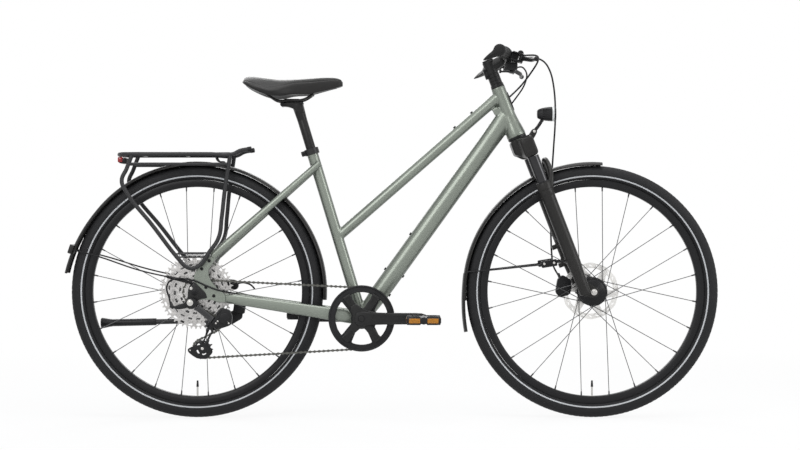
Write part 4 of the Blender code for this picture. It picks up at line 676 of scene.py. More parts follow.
REAR_HUB = (
    (0.0056, -0.0262), (0.0138, -0.0262), (0.014, -0.0235), (0.0285, -0.0228), (0.0292, -0.0222),
    (0.0292, -0.0198), (0.0285, -0.019), (0.02, -0.0165), (0.0165, -0.014), (0.015, -0.01),
    (0.0146, 0.01), (0.0155, 0.026), (0.02, 0.0295), (0.0285, 0.0312), (0.0292, 0.0318),
    (0.0292, 0.0342), (0.0285, 0.0348), (0.0215, 0.0385), (0.0208, 0.04), (0.0208, 0.0506),
    (0.0165, 0.051), (0.0165, 0.056), (0.012, 0.06), (0.0056, 0.06))
FRONT_HUB = (
    (0.0056, -0.046), (0.014, -0.046), (0.015, -0.045), (0.015, -0.035), (0.018, -0.0335),
    (0.029, -0.031), (0.033, -0.0285), (0.0345, -0.0278), (0.04, -0.0275), (0.0405, -0.027),
    (0.0405, -0.025), (0.04, -0.0245), (0.035, -0.024), (0.0332, -0.022), (0.0332, 0.022),
    (0.035, 0.024), (0.04, 0.0245), (0.0405, 0.025), (0.0405, 0.027), (0.04, 0.0275), (0.0345, 0.0278),
    (0.031, 0.03), (0.0215, 0.0335), (0.021, 0.0345), (0.021, 0.038), (0.0165, 0.0384), (0.0165, 0.043),
    (0.012, 0.046), (0.0056, 0.046))
SPOKE_COUNT = 24
SPOKE_CROSSING = math.radians(60)
SPOKE_END_RADIUS, SPOKE_RADIUS, ELBOW_RADIUS = 0.2952, 0.00105, 0.0016
VALVE_ANGLE = -math.pi / 2
DISC_SCALLOPS, DISC_HALF = 12, 0.0009
hub_black = surface("hub_black_alloy", (0.014, 0.014, 0.015), 0.34, 0.3, grain=(900, 0.06),
                    wear=(0.07, 0.07, 0.07))
spoke_steel = surface("spoke_steel", (0.075, 0.075, 0.077), 0.32, 0.6, grain=(500, 0.05))
disc_steel = surface("brake_disc_steel", (0.8, 0.79, 0.77), 0.28, 0.9, cloud=(40, 0.06),
                     grain=(1400, 0.08))
nut_steel = surface("bright_steel", (0.58, 0.57, 0.55), 0.25, 1.0, grain=(900, 0.06))
plastic_black = surface("black_plastic_fine", (0.012, 0.012, 0.013), 0.45, grain=(1500, 0.07),
                        relief=0.00003)


def laced(end, centre, right_flange, left_flange, hole_radius, start, body):
    """The spokes and nipples of one wheel, every other one on the left flange."""
    wires, nipples = [], []
    for i in range(SPOKE_COUNT):
        angle = start + math.tau * i / SPOKE_COUNT
        trailing = -1 if i // 2 % 2 else 1
        flange = left_flange if i % 2 else right_flange
        rim_y = 0.003 * (1 if i % 2 else -1) + 0.0014 * trailing
        head = around(centre, hole_radius, angle - trailing * SPOKE_CROSSING,
                      flange + trailing * 0.0017)
        foot = around(centre, SPOKE_END_RADIUS, angle, rim_y)
        way = (foot - head).normalized()
        wires.append(rod(head, foot - way * 0.009, SPOKE_RADIUS, 8))
        wires.append(rod(head - Vector((0, trailing * 0.0034, 0)), head, ELBOW_RADIUS, 8))
        nipples.append(rod(foot - way * 0.0125, foot + way * 0.002, 0.0019, 8, end_radius=0.0024))
    spokes = joined(*wires)
    fitted(spokes, spoke_steel, f"{end}_spokes", body)
    fitted(joined(*nipples), black_steel, f"{end}_nipples", body)


def brake_disc(centre, y):
    """A brake disc with a wavy pierced brake ring on six slanted arms."""
    edge = [around(centre, 0.0792 + 0.0008 * math.cos(DISC_SCALLOPS * math.tau * i / 240),
                   math.tau * i / 240) for i in range(240)]
    holes = [circle(centre, 0.0178, 32)]
    for i in range(6):
        a = math.tau * i / 6
        holes.append([around(centre, r, a + t) for r, t in (
            (0.064, 0.02), (0.0646, 0.2), (0.065, 0.4), (0.0646, 0.6), (0.064, 0.78), (0.06, 0.76),
            (0.042, 0.44), (0.03, 0.16), (0.027, 0.11), (0.03, 0.08), (0.045, 0.06))])
    for i in range(24):
        a = math.tau * i / 24
        holes.append([around(centre, r, a + t) for r, t in (
            (0.069, -0.035), (0.07, -0.062), (0.0716, -0.055), (0.075, 0.035), (0.074, 0.062),
            (0.0724, 0.055))])
    return plate([edge, *holes], y - DISC_HALF, y + DISC_HALF)


for end, centre, profile, flanges, holes, start, disc_y in (
        ("rear", rear_axle, REAR_HUB, (-0.021, 0.033), 0.0255, math.radians(6), 0.0523),
        ("front", front_axle, FRONT_HUB, (-0.026, 0.026), 0.037, math.radians(9.3), 0.0395)):
    body = f"{end}_wheel"
    hub = spun(profile, centre, steps=64)
    fitted(hub, hub_black, f"{end}_hub_shell", body, [f"{end}_hub"], 30)
    laced(end, centre, *flanges, holes, start, body)
    fitted(brake_disc(centre, disc_y), disc_steel, f"{end}_brake_disc", body, [f"{end}_rotor"])
    outside = disc_y + DISC_HALF
    lock = spun((
        (0.0172, outside), (0.0215, outside), (0.0215, outside + 0.0014), (0.02, outside + 0.0022),
        (0.0172, outside + 0.0022)), centre, steps=60)
    fitted(lock, black_steel, f"{end}_disc_lockring", body)
    valve = joined(rod(around(centre, 0.2965, VALVE_ANGLE), around(centre, 0.256, VALVE_ANGLE),
                       0.0026, 16),
                   rod(around(centre, 0.2955, VALVE_ANGLE), around(centre, 0.2925, VALVE_ANGLE),
                       0.005, 20, bevel=0.0008))
    fitted(valve, nut_steel, f"{end}_valve", body)
    cap = rod(around(centre, 0.268, VALVE_ANGLE), around(centre, 0.25, VALVE_ANGLE), 0.0036, 20,
              end_radius=0.0024, bevel=0.0006)
    fitted(cap, plastic_black, f"{end}_valve_cap", body)

# Axles: each is a steel bar with a locknut inside and a domed nut outside either dropout, spun
# as one with the locknuts. They hold the wheels in the frame and the fork.
for end, centre, width, dropout, nut, shoulder, body in (
        ("rear", rear_axle, 0.135, 0.008, 0.0092, 0.0645, "frame"),
        ("front", front_axle, 0.1, 0.008, 0.0078, 0.0465, "fork_legs")):
    inner, outer = width / 2 - 0.0003, width / 2 + dropout + 0.0003
    side = [(0.005, outer), (0.005, inner), (0.0098, inner), (0.0098, shoulder), (0.005, shoulder)]
    bar = spun([(0, outer), *side, *[(r, -y) for r, y in side[::-1]], (0, -outer)], centre, (0, 1, 0),
               48, looped=False)
    fitted(bar, nut_steel, f"{end}_axle_bar", body, [f"{end}_axle"], 30)
    nuts = []
    for way in (-1, 1):
        nuts += [across(centre, way * outer, way * (outer + 0.0012), nut * 1.12, 32, 0.0003),
                 across(centre, way * (outer + 0.001), way * (outer + 0.0056), nut, 6, 0.0007),
                 across(centre, way * (outer + 0.004), way * (outer + 0.0064), nut * 0.72, 24, 0.001)]
    fitted(joined(*nuts), black_steel if end == "rear" else nut_steel, f"{end}_axle_nuts", body,
           angle=30)

# The chain's path and the cassette: nine steel sprockets on a freewheel barrel, each cut with
# rounded valleys, the large ones pierced to save weight. The chain's pins lie one pitch apart.
CHAIN_PITCH, CHAIN_LINKS, CHAIN_Y = 0.0127, 120, -0.049
CHAINRING_TEETH, GUIDE_TEETH, TENSION_TEETH = 42, 11, 13
SPROCKET_TEETH = (50, 42, 34, 27, 21, 17, 15, 13, 11)
SPROCKET_STEP, SPROCKET_HALF = 0.0042, 0.0008
VALLEY_RADIUS, TOOTH_CREST, TOOTH_TIP = 0.0041, 0.003, 0.0011
DRIVEN = 5
CAGE_ANGLE, CAGE_LENGTH = math.radians(-113.1692), 0.0742
guide_axle = Vector(joints["guide_pulley_spin"]["pos_m"]) * Vector((1, 0, 1))
tension_axle = around(guide_axle, CAGE_LENGTH, CAGE_ANGLE)


def pitch_radius(teeth):
    """The radius on which a wheel of this many teeth carries the chain's pins."""
    return CHAIN_PITCH / (2 * math.sin(math.pi / teeth))


def chain_pins():
    """The chain's pins round its four toothed wheels, and the angle of one valley of each."""
    turns = [(bottom_bracket, CHAINRING_TEETH, -1), (tension_axle, TENSION_TEETH, -1),
             (guide_axle, GUIDE_TEETH, 1), (rear_axle, SPROCKET_TEETH[DRIVEN], -1)]
    runs = []
    for i, (centre, teeth, sense) in enumerate(turns):
        after, after_teeth, after_sense = turns[(i + 1) % 4]
        span = after - centre
        step = sense * pitch_radius(teeth) - after_sense * pitch_radius(after_teeth)
        runs.append((math.atan2(span.z, span.x) + math.asin(step / span.length),
                     math.sqrt(span.length_squared - step * step)))
    pins, valleys, left_over = [], [], 0.0
    for i, (centre, teeth, sense) in enumerate(turns):
        enter, (leave, length) = runs[i - 1][0], runs[i]
        turn = math.tau / teeth
        sweep = (leave - enter) * sense % math.tau / turn
        place = left_over
        valleys.append(enter + sense * (left_over * turn - math.pi / 2))
        while place < sweep:
            pins.append(around(centre, pitch_radius(teeth),
                               enter + sense * (place * turn - math.pi / 2)))
            place += 1
        start = around(centre, pitch_radius(teeth), leave - sense * math.pi / 2)
        way = Vector((math.cos(leave), 0, math.sin(leave)))
        place -= sweep
        while place < length / CHAIN_PITCH:
            pins.append(start + way * place * CHAIN_PITCH)
            place += 1
        left_over = place - length / CHAIN_PITCH
    return pins[:CHAIN_LINKS], valleys


pins, valleys = chain_pins()


def toothed(centre, teeth, valley):
    """A toothed edge: a round valley for each roller and a slim tooth between two of them."""
    radius = pitch_radius(teeth)
    edge = []
    for i in range(teeth):
        a = valley + math.tau * i / teeth
        for lean in (1.15, 0.6, 0, -0.6, -1.15):
            edge.append(around(around(centre, radius, a), VALLEY_RADIUS, a + math.pi + lean))
        middle = a + math.pi / teeth
        for side in (-1, 1):
            edge.append(around(centre, radius + TOOTH_CREST, middle + side * TOOTH_TIP / radius))
    return edge


def windows(centre, low, high, count, share, start=0.0):
    """Rounded openings round an axle between two radii."""
    half = math.pi / count * share
    loops = []
    for i in range(count):
        a = start + math.tau * i / count
        ease = (high - low) * 0.25
        inward = ease / low
        outward = ease / high
        loops.append([around(centre, r, a + t) for r, t in (
            (high, half - outward), (high, 0), (high, -half + outward), (high - ease, -half),
            (low + ease, -half), (low, -half + inward), (low, 0), (low, half - inward),
            (low + ease, half), (high - ease, half))])
    return loops


PIERCED = {50: ((0.0892, 0.095, 25, 0.52), (0.064, 0.079, 10, 0.6), (0.04, 0.056, 6, 0.7)),
           42: ((0.0735, 0.079, 21, 0.52), (0.05, 0.064, 8, 0.62)),
           34: ((0.0565, 0.0625, 17, 0.52), (0.038, 0.048, 6, 0.62)),
           27: ((0.0415, 0.047, 9, 0.55),), 21: ((0.027, 0.0335, 7, 0.5),)}
derailleur_grey = surface("derailleur_grey", (0.04, 0.04, 0.042), 0.36, 0.5, grain=(1100, 0.08),
                          wear=(0.14, 0.14, 0.14))
sprocket_steel = surface("sprocket_steel", (0.52, 0.51, 0.5), 0.3, 0.95, cloud=(60, 0.12),
                         grain=(1300, 0.1), wear=(0.75, 0.74, 0.72))
first = CHAIN_Y + DRIVEN * SPROCKET_STEP
stack = [spun((
    (0.0056, -0.064), (0.014, -0.064), (0.015, -0.0632), (0.015, first + 0.0013),
    (0.0056, first + 0.0013)), rear_axle, steps=48)]
for i, teeth in enumerate(SPROCKET_TEETH):
    y = first - i * SPROCKET_STEP
    holes = [circle(rear_axle, 0.0145, 40)]
    for low, high, count, share in PIERCED.get(teeth, ()):
        holes += windows(rear_axle, low, high, count, share, 0.3 * i)
    stack.append(plate([toothed(rear_axle, teeth, valleys[3]), *holes], y - SPROCKET_HALF,
                       y + SPROCKET_HALF, 0.0002))
for i in range(len(SPROCKET_TEETH) - 1):
    y = first - (i + 0.5) * SPROCKET_STEP
    collar = min(0.03, pitch_radius(SPROCKET_TEETH[i + 1]) - 0.0085)
    stack.append(spun((
        (0.0146, y - 0.0013), (collar, y - 0.0013), (collar, y + 0.0013), (0.0146, y + 0.0013)),
                      rear_axle, steps=40))
# Dark discs between the sprockets: partly the real carriers, partly painted shade that darkens the
# sprockets' windows.
carrier_shade_discs = []
for i in range(5):
    y = first - (i + 0.5) * SPROCKET_STEP
    reach = pitch_radius(SPROCKET_TEETH[i + 1]) - 0.0075
    carrier_shade_discs.append(spun((
        (0.015, y - 0.0006), (reach, y - 0.0006), (reach, y + 0.0006), (0.015, y + 0.0006)), rear_axle,
                         steps=72))
fitted(joined(*carrier_shade_discs), derailleur_grey, "cassette_carriers_and_shade", "gears")
fitted(joined(*stack), sprocket_steel, "cassette_sprockets", "gears", ["cassette"])
small = first - 8 * SPROCKET_STEP
lock = spun((
    (0.0152, small - 0.001), (0.0195, small - 0.001), (0.0195, small - 0.002), (0.018, small - 0.0026),
    (0.0152, small - 0.0026)), rear_axle, steps=48)
fitted(lock, black_steel, "cassette_lockring", "gears")

# Chainring, guard and cranks: a black steel ring behind a plastic guard with five windows, and
# forged black arms, the right one with a four-armed star that carries both.
chainring_black = surface("chainring_black", (0.03, 0.03, 0.031), 0.36, 0.7, grain=(1200, 0.08),
                          wear=(0.25, 0.25, 0.25))
crank_black = surface("crank_black", (0.012, 0.012, 0.012), 0.42, 0.2, cloud=(30, 0.08),
                      grain=(1300, 0.06), wear=(0.06, 0.06, 0.06), coat=0.15)
guard_plastic = surface("guard_plastic", (0.013, 0.013, 0.014), 0.42, grain=(1500, 0.06),
                        relief=0.00002)
ring_piece = plate([toothed(bottom_bracket, CHAINRING_TEETH, valleys[0]),
                    circle(bottom_bracket, 0.0735, 96)], CHAIN_Y - 0.0009, CHAIN_Y + 0.0009, 0.0003)
fitted(ring_piece, chainring_black, "chainring_plate", "cranks", ["chainring"])


def rounded(points, radius, steps=4):
    """A closed outline in the bike's plane with each corner turned into an arc."""
    outline = []
    for i, point in enumerate(points):
        before = (points[i - 1] - point).normalized()
        after = (points[(i + 1) % len(points)] - point).normalized()
        reach = min(radius, (points[i - 1] - point).length * 0.45,
                    (points[(i + 1) % len(points)] - point).length * 0.45)
        start, end = point + before * reach, point + after * reach
        for step in range(steps + 1):
            t = step / steps
            outline.append(start * (1 - t) ** 2 + point * 2 * t * (1 - t) + end * t * t)
    return outline


guard_holes = [circle(bottom_bracket, 0.02, 40)]
for first_angle, last_angle, foot_radius, foot_angle in (
        (66, 114, 0.03, 93), (140, 220, 0.03, 180), (247, 294, 0.03, 270), (12, 46, 0.043, 26),
        (-46, -12, 0.043, -26)):
    arc = [around(bottom_bracket, 0.073, math.radians(first_angle + (last_angle - first_angle) * t / 5))
           for t in range(6)]
    foot_spread = 24 if foot_radius < 0.04 else 6
    feet = [around(bottom_bracket, foot_radius, math.radians(foot_angle + t)) for t in
            (foot_spread, 0, -foot_spread)]
    guard_holes.append(rounded([*arc, *feet], 0.005))
guard = plate([circle(bottom_bracket, 0.0922, 144), *guard_holes], -0.054, -0.0562, 0.0005)
lips = [spun([(radius + lip * math.cos(a), -0.0556 + lip * 0.8 * math.sin(a))
              for a in (math.tau * i / 12 for i in range(12))], bottom_bracket, steps=144)
        for radius, lip in ((0.0893, 0.003), (0.0752, 0.0017))]
guard = joined(guard, *lips)
fitted(guard, guard_plastic, "chain_guard_disc", "cranks", ["chain_guard"])

CRANK_LENGTH = 0.171
right_pedal_at = bottom_bracket + Vector((CRANK_LENGTH, 0, 0))
left_pedal_at = bottom_bracket - Vector((CRANK_LENGTH, 0, 0))


def crank_arm(way, near, far):
    """A forged crank arm with a boss at each end and a shallow channel along it."""
    half = [(-0.019, 0.005), (-0.017, 0.0115), (-0.011, 0.017), (-0.002, 0.0195), (0.008, 0.0196),
            (0.03, 0.0175), (0.06, 0.0164), (0.1, 0.016), (0.15, 0.0158), (0.166, 0.015),
            (0.178, 0.0112), (0.184, 0.005)]
    outline = [bottom_bracket + Vector((way * x, 0, z)) for x, z in half]
    outline += [bottom_bracket + Vector((way * x, 0, -z)) for x, z in half[::-1]]
    arm = slab(outline, near, far, 0.003, 3)
    outer = min(near, far) if near < 0 else max(near, far)
    side = -1 if near < 0 else 1
    channel = rounded([bottom_bracket + Vector((way * x, 0, z)) for x, z in
                       ((0.03, 0.0095), (0.15, 0.008), (0.15, -0.008), (0.03, -0.0095))], 0.005)
    arm = cut(arm, slab(channel, outer - side * 0.0012, outer + side * 0.005))
    return cut(arm, across(bottom_bracket, outer - side * 0.003, outer + side * 0.004, 0.0095))


star = [crank_arm(1, -0.062, -0.075)]
for degrees in (57, 124, 232, 308):
    a = math.radians(degrees)
    ahead, aside = Vector((math.cos(a), 0, math.sin(a))), Vector((-math.sin(a), 0, math.cos(a)))
    arm = slab(rounded([bottom_bracket + ahead * u + aside * v for u, v in (
        (0.01, 0.017), (0.03, 0.0105), (0.064, 0.0095), (0.076, 0.012), (0.076, -0.012),
        (0.064, -0.0095), (0.03, -0.0105), (0.01, -0.017))], 0.004), -0.0566, -0.065, 0.0015)
    pocket = slab(rounded([bottom_bracket + ahead * u + aside * v for u, v in
                           ((0.052, 0.001), (0.07, 0.007), (0.07, -0.007), (0.052, -0.001))],
                          0.003), -0.0636, -0.068)
    star.append(cut(arm, pocket))
star.append(slab(rounded([bottom_bracket + Vector((x, 0, z)) for x, z in (
    (0.044, 0.0172), (0.0187, 0.0225), (0.0023, 0.029), (-0.0165, 0.043), (-0.033, 0.032),
    (-0.0262, 0.011), (-0.0262, -0.011), (-0.035, -0.03), (-0.02, -0.0415), (0.0, -0.0245),
    (0.0234, -0.019), (0.044, -0.0172))], 0.006), -0.0575, -0.0715, 0.003, 3))
star.append(across(bottom_bracket, -0.0566, -0.069, 0.023, 48, 0.002))
star.append(across(bottom_bracket, -0.0625, 0.0612, 0.012, 32))
star.append(across(bottom_bracket, -0.07, -0.0742, 0.0088, 32, 0.001))
star.append(across(right_pedal_at, -0.074, -0.182, 0.006, 24))
fitted(joined(*star), crank_black, "right_crank_arm", "cranks", ["crank_right"], 30)
left_crank = joined(crank_arm(-1, 0.0615, 0.075), across(left_pedal_at, 0.074, 0.182, 0.006, 24),
                    across(bottom_bracket, 0.069, 0.0742, 0.0088, 32, 0.001))
fitted(left_crank, crank_black, "left_crank_arm", "cranks", ["crank_left"], 30)

# The chain: pressed steel side plates, in turn narrow and wide, on riveted pins with a roller at
# each. One link of either kind is modelled, then copied along the route.
chain_steel = surface("chain_steel_oiled", (0.048, 0.047, 0.044), 0.36, 0.7, cloud=(120, 0.15),
                      grain=(900, 0.1), wear=(0.2, 0.2, 0.18))
LINK_RADIUS, LINK_WAIST = 0.0034, 0.0017


def link_plate(near, far):
    """One side plate, waisted between its round ends, lying along X from its first pin."""
    edge = []
    for pin, start, waist in ((0, 100, -LINK_WAIST), (CHAIN_PITCH, -80, LINK_WAIST)):
        for a in (math.radians(start + 40 * i) for i in range(5)):
            edge.append((pin + LINK_RADIUS * math.cos(a), 0, LINK_RADIUS * math.sin(a)))
        edge.append((CHAIN_PITCH / 2, 0, waist))
    return slab(edge, near, far)


def chain_link(near, far, half, radius, sides):
    """One link: a side plate on either side, and rollers or rivets across it at both pins."""
    return joined(link_plate(near, far), link_plate(-far, -near),
                  *[across(Vector((x, 0, 0)), -half, half, radius, sides) for x in (0, CHAIN_PITCH)])


links = {"inner": chain_link(0.0011, 0.002, 0.0011, 0.0038, 12),
         "outer": chain_link(0.0021, 0.0029, 0.0033, 0.0018, 10)}


def repeated(piece, places):
    """Copies of a small piece at these matrices, made one object. The first is used up."""
    copies = []
    for place in places:
        only(piece)
        bpy.ops.object.duplicate()
        copies.append(bpy.context.object)
        copies[-1].matrix_world = place
    bpy.data.objects.remove(piece)
    whole = joined(*copies)
    bpy.ops.object.transform_apply()
    return whole


spots = {"inner": [], "outer": []}
for i, pin in enumerate(pins):
    ahead = pins[(i + 1) % len(pins)] - pin
    turn = Matrix.Rotation(-math.atan2(ahead.z, ahead.x), 4, "Y")
    spots["outer" if i % 2 else "inner"].append(
        Matrix.Translation(pin + Vector((0, CHAIN_Y, 0))) @ turn)
fitted(joined(repeated(links["inner"], spots["inner"]), repeated(links["outer"], spots["outer"])),
       chain_steel, "roller_chain", "frame", ["chain"], 30)

# Pedals: moulded black platforms with gripping ribs round two openings, and orange reflectors in
# their front, rear and outer edges.
orange = surface("orange_reflector", (0.4, 0.155, 0.006), 0.22, cloud=(300, 0.25), grain=(600, 0.05),
                 coat=0.4)


def block(centre, size, turn=0.0, bevel=0.0, segments=3):
    """A block turned about Y with its edges eased."""
    deselect()
    bpy.ops.mesh.primitive_cube_add(size=1)
    cube = bpy.context.object
    cube.matrix_world = (Matrix.Translation(centre) @ Matrix.Rotation(turn, 4, "Y")
                         @ Matrix.Diagonal((*size, 1)))
    only(cube)
    bpy.ops.object.transform_apply()
    if bevel:
        shaped(cube, "BEVEL", width=bevel, segments=segments)
    return cube


def pedal(centre, side, name, body, node):
    """A platform pedal on its spindle, outwards at one side of the bike."""
    middle = centre + Vector((0, side * 0.14, 0))
    frame_parts = [block(middle, (0.0945, 0.0935, 0.018), bevel=0.0045)]
    for way in (-1, 1):
        frame_parts[0] = cut(frame_parts[0],
                             block(middle + Vector((way * 0.0235, 0, 0)), (0.0215, 0.07, 0.05)))
        for i in range(7):
            rib = middle + Vector((way * (0.0392 if i % 2 else 0.04), (i - 3) * 0.0118, 0))
            frame_parts.append(block(rib, (0.011, 0.0042, 0.0232), bevel=0.001, segments=1))
        for i in (-1, 1):
            frame_parts.append(block(middle + Vector((i * 0.0235, way * 0.041, 0)),
                                     (0.03, 0.007, 0.023), bevel=0.0012, segments=2))
    frame_parts.append(across(centre, side * 0.087, side * 0.1862, 0.01, 32, 0.0012))
    platform = joined(*frame_parts)
    platform = cut(platform, across(centre, side * 0.08, side * 0.1822, 0.0064))
    fitted(platform, plastic_black, f"{name}_platform", body, [node], 30)
    lenses = []
    for way in (-1, 1):
        lenses.append(block(middle + Vector((way * 0.0465, 0, 0)), (0.0022, 0.056, 0.012), bevel=0.0008,
                            segments=2))
        lenses.append(block(middle + Vector((way * 0.025, side * 0.0463, 0)), (0.03, 0.0022, 0.013),
                            bevel=0.0008, segments=2))
    reflectors = joined(*lenses)
    fitted(reflectors, orange, f"{name}_reflectors", body)


pedal(right_pedal_at, -1, "right_pedal", "right_pedal", "pedal_right")
pedal(left_pedal_at, 1, "left_pedal", "left_pedal", "pedal_left")

# Fittings of the dropouts: a black hanger plate outside the right one with a silver screw, and
# black socket screws at the stays' ends on both sides.
hanger_plate = slab(rounded([at(x, rear_axle.z + z) for x, z in (
    (0.0003, 0.0293), (0.0304, 0.0), (0.036, -0.016), (0.0153, -0.0185), (0.002, -0.029),
    (-0.014, -0.037), (-0.0235, -0.03), (-0.019, -0.012), (-0.018, 0.0068), (-0.011, 0.0243))], 0.006),
                    -0.0754, -0.0772, 0.0007)
hanger_plate = cut(hanger_plate, across(rear_axle, -0.07, -0.08, 0.006))
fitted(hanger_plate, crank_black, "hanger_plate", "frame")


def bolt_head(foot, way, radius, height):
    """A round bolt head on a face, with a hexagon socket."""
    way = Vector(way).normalized()
    head = rod(foot - way * 0.0008, foot + way * height, radius, 28, bevel=radius * 0.14)
    return cut(head, rod(foot + way * height * 0.4, foot + way * (height + 0.002), radius * 0.5, 6))


silver = bolt_head(at(-0.0093, rear_axle.z + 0.011, -0.0771), (0, -1, 0), 0.0042, 0.0022)
fitted(silver, nut_steel, "hanger_screw", "frame")
stay_screws = []
for x, z in ((0.0404, 0.0877), (0.0198, 0.0652), (0.0316, 0.0142), (0.0534, -0.0096)):
    for side in (-1, 1):
        face = 0.0792 if z > 0.08 else 0.0755
        stay_screws.append(bolt_head(at(x, rear_axle.z + z, side * face), (0, side, 0), 0.0046, 0.0014))
fitted(joined(*stay_screws), black_steel, "stay_screws", "frame")

# The derailleur: a body on the hanger with its cable adjuster, two parallel links, a knuckle and
# a sprung cage with two toothed pulleys, of black alloy and glass-filled plastic.
derailleur_black = surface("derailleur_black", (0.012, 0.012, 0.013), 0.38, grain=(1300, 0.08),
                           wear=(0.05, 0.05, 0.05), relief=0.00002)
link_start, link_end = at(0.008, 0.312), at(0.048, 0.278)
link_way = (link_end - link_start).normalized()
link_axis = Vector((-link_way.z, 0, link_way.x))
behind = link_start - link_way * 0.0042
mech_body = slab(rounded([behind - link_axis * 0.0095, behind + link_axis * 0.0115, at(0.004, 0.3345),
                          at(-0.01, 0.338), at(-0.024, 0.331), at(-0.0265, 0.318), at(-0.014, 0.308)],
                         0.005), -0.0776, -0.0935, 0.0018)
adjuster = joined(slab(rounded([at(*p) for p in (
    (-0.015, 0.329), (-0.013, 0.312), (-0.042, 0.306), (-0.056, 0.309), (-0.056, 0.315))], 0.004),
                       -0.08, -0.09, 0.0018),
                  rod(at(-0.056, 0.311, -0.085), at(-0.066, 0.317, -0.085), 0.0052, 20, bevel=0.0008))
mech_body = joined(mech_body, adjuster)
fitted(mech_body, derailleur_black, "derailleur_mount", "frame", ["derailleur_body"],
       30)
pivot_bolt = joined(across(at(-0.0104, 0.3251), -0.093, -0.0958, 0.0088, 40, 0.0008),
                    across(at(-0.0104, 0.3251), -0.095, -0.0964, 0.0056, 6, 0.0004))
fitted(pivot_bolt, nut_steel, "derailleur_pivot_bolt", "frame")


def parallel_link(near, far, name, body, node):
    """One bar of the parallelogram, dished along its middle, with a barrel on each pin."""
    start, end = link_start + Vector((0, near, 0)), link_end + Vector((0, far, 0))
    way = (end - start).normalized()
    flat = link_axis.cross(way)
    rings = [[p + link_axis * u * deep + flat * v * 0.0013 for u, v in
              ((-1, -1), (-0.5, -1.5), (0.5, -1.5), (1, -1), (1, 1), (0.5, 1.4), (-0.5, 1.4), (-1, 1))]
             for p, deep in (
                 (start, 0.0085), (start.lerp(end, 0.2), 0.0074), (start.lerp(end, 0.8), 0.0074),
                 (end, 0.0085))]
    barrels = [rod(p - link_axis * 0.0095, p + link_axis * 0.0095, 0.0031, 20, bevel=0.0005)
               for p in (start, end)]
    bar = joined(skinned(rings), *barrels)
    fitted(bar, derailleur_grey, name, body, [node], 30)


parallel_link(-0.089, -0.079, "outer_parallel_link", "outer_link", "derailleur_outer_link")
parallel_link(-0.079, -0.069, "inner_parallel_link", "inner_link", "derailleur_inner_link")

beyond = link_end + link_way * 0.0042
knuckle = slab(rounded([beyond - link_axis * 0.007, at(0.07, 0.252), at(0.088, 0.258), at(0.102, 0.263),
                        at(0.105, 0.286), at(0.098, 0.305), at(0.072, 0.311),
                        beyond + link_axis * 0.011], 0.007), -0.0622, -0.0838, 0.003, 3)
wing = slab(rounded([at(*p) for p in (
    (0.04, 0.257), (0.048, 0.253), (0.07, 0.252), (0.096, 0.26), (0.104, 0.285), (0.085, 0.29),
    (0.052, 0.276), (0.0405, 0.271))], 0.005), -0.0574, -0.064, 0.001)
drum = across(at(0.083, 0.281), -0.08, -0.0868, 0.015, 48, 0.0022)
rim_fin = slab(rounded([at(*p) for p in
                        ((0.056, 0.29), (0.068, 0.306), (0.078, 0.3075), (0.07, 0.296))], 0.003),
               -0.0835, -0.0856, 0.0008)
knuckle = joined(cut(knuckle, across(at(0.064, 0.299), -0.082, -0.09, 0.0042)), wing, drum, rim_fin)
fitted(knuckle, derailleur_black, "derailleur_knuckle_shell", "knuckle",
       ["derailleur_knuckle"], 30)
dots = joined(*[bolt_head(at(x, z, y), (0, -1, 0), 0.0024, 0.0014) for x, z, y in (
    (0.064, 0.299, -0.0824), (0.0651, 0.2738, -0.0836), (0.06, 0.268, -0.0836),
    (0.0954, 0.2682, -0.0836))])
fitted(dots, nut_steel, "derailleur_limit_screws", "knuckle")


def by_tension(*points):
    """Places ahead of and above the lower pulley's axle."""
    return [tension_axle + Vector((x, 0, z)) for x, z in points]


lower_plate = plate([rounded(by_tension(
    (-0.0411, -0.0014), (-0.0312, 0.005), (-0.0028, 0.012), (0.0043, 0.0177), (0.0128, 0.0149),
    (0.0142, 0.0078), (0.0269, -0.0021), (0.0291, -0.0092), (0.0227, -0.0191), (0.0113, -0.0275),
    (-0.0014, -0.029), (-0.0142, -0.0275), (-0.0284, -0.0191), (-0.0397, -0.0092)), 0.005),
                     rounded(by_tension(
                         (-0.0184, -0.0021), (-0.0142, -0.0135), (0.0, -0.0199), (0.0128, -0.0163),
                         (0.017, -0.0064), (0.0128, -0.0106), (0.0043, -0.0149), (-0.0085, -0.0121),
                         (-0.0121, -0.0035)), 0.003),
                     circle(tension_axle + Vector((-0.0338, 0, -0.0046)), 0.0022, 16)],
                    CHAIN_Y - 0.0041, CHAIN_Y - 0.0059, 0.0005)
guide_way = (guide_axle - tension_axle).normalized()
guide_side = Vector((guide_way.z, 0, -guide_way.x))
front_bar = slab([tension_axle + guide_way * 0.01 + guide_side * 0.0055,
                  tension_axle + guide_way * 0.0145,
                  guide_axle - guide_way * 0.004 + guide_side * 0.005,
                  guide_axle - guide_way * 0.004 + guide_side * 0.01], CHAIN_Y - 0.0042,
                 CHAIN_Y - 0.0056, 0.0005)
back_bar = slab([tension_axle + guide_way * 0.012 - guide_side * 0.001,
                 tension_axle + guide_way * 0.016 - guide_side * 0.004,
                 guide_axle - guide_way * 0.01 - guide_side * 0.012,
                 guide_axle - guide_way * 0.006 - guide_side * 0.0088],
                CHAIN_Y - 0.0042, CHAIN_Y - 0.0056, 0.0005)
upper_plate = slab(rounded([guide_axle - guide_way * 0.014 - guide_side * 0.012,
                            guide_axle - guide_way * 0.014 + guide_side * 0.01,
                            guide_axle + guide_way * 0.006 + guide_side * 0.01,
                            guide_axle + guide_way * 0.006 - guide_side * 0.01], 0.005),
                   CHAIN_Y - 0.0042, CHAIN_Y - 0.0056, 0.0004)
inner_outline = [tension_axle + guide_way * u + guide_side * v for u, v in (
    (-0.014, -0.003), (-0.014, 0.003), (-0.006, 0.01), (0.03, 0.007), (0.068, 0.008), (0.082, 0.004),
    (0.082, -0.004), (0.068, -0.008), (0.03, -0.007), (-0.006, -0.01))]
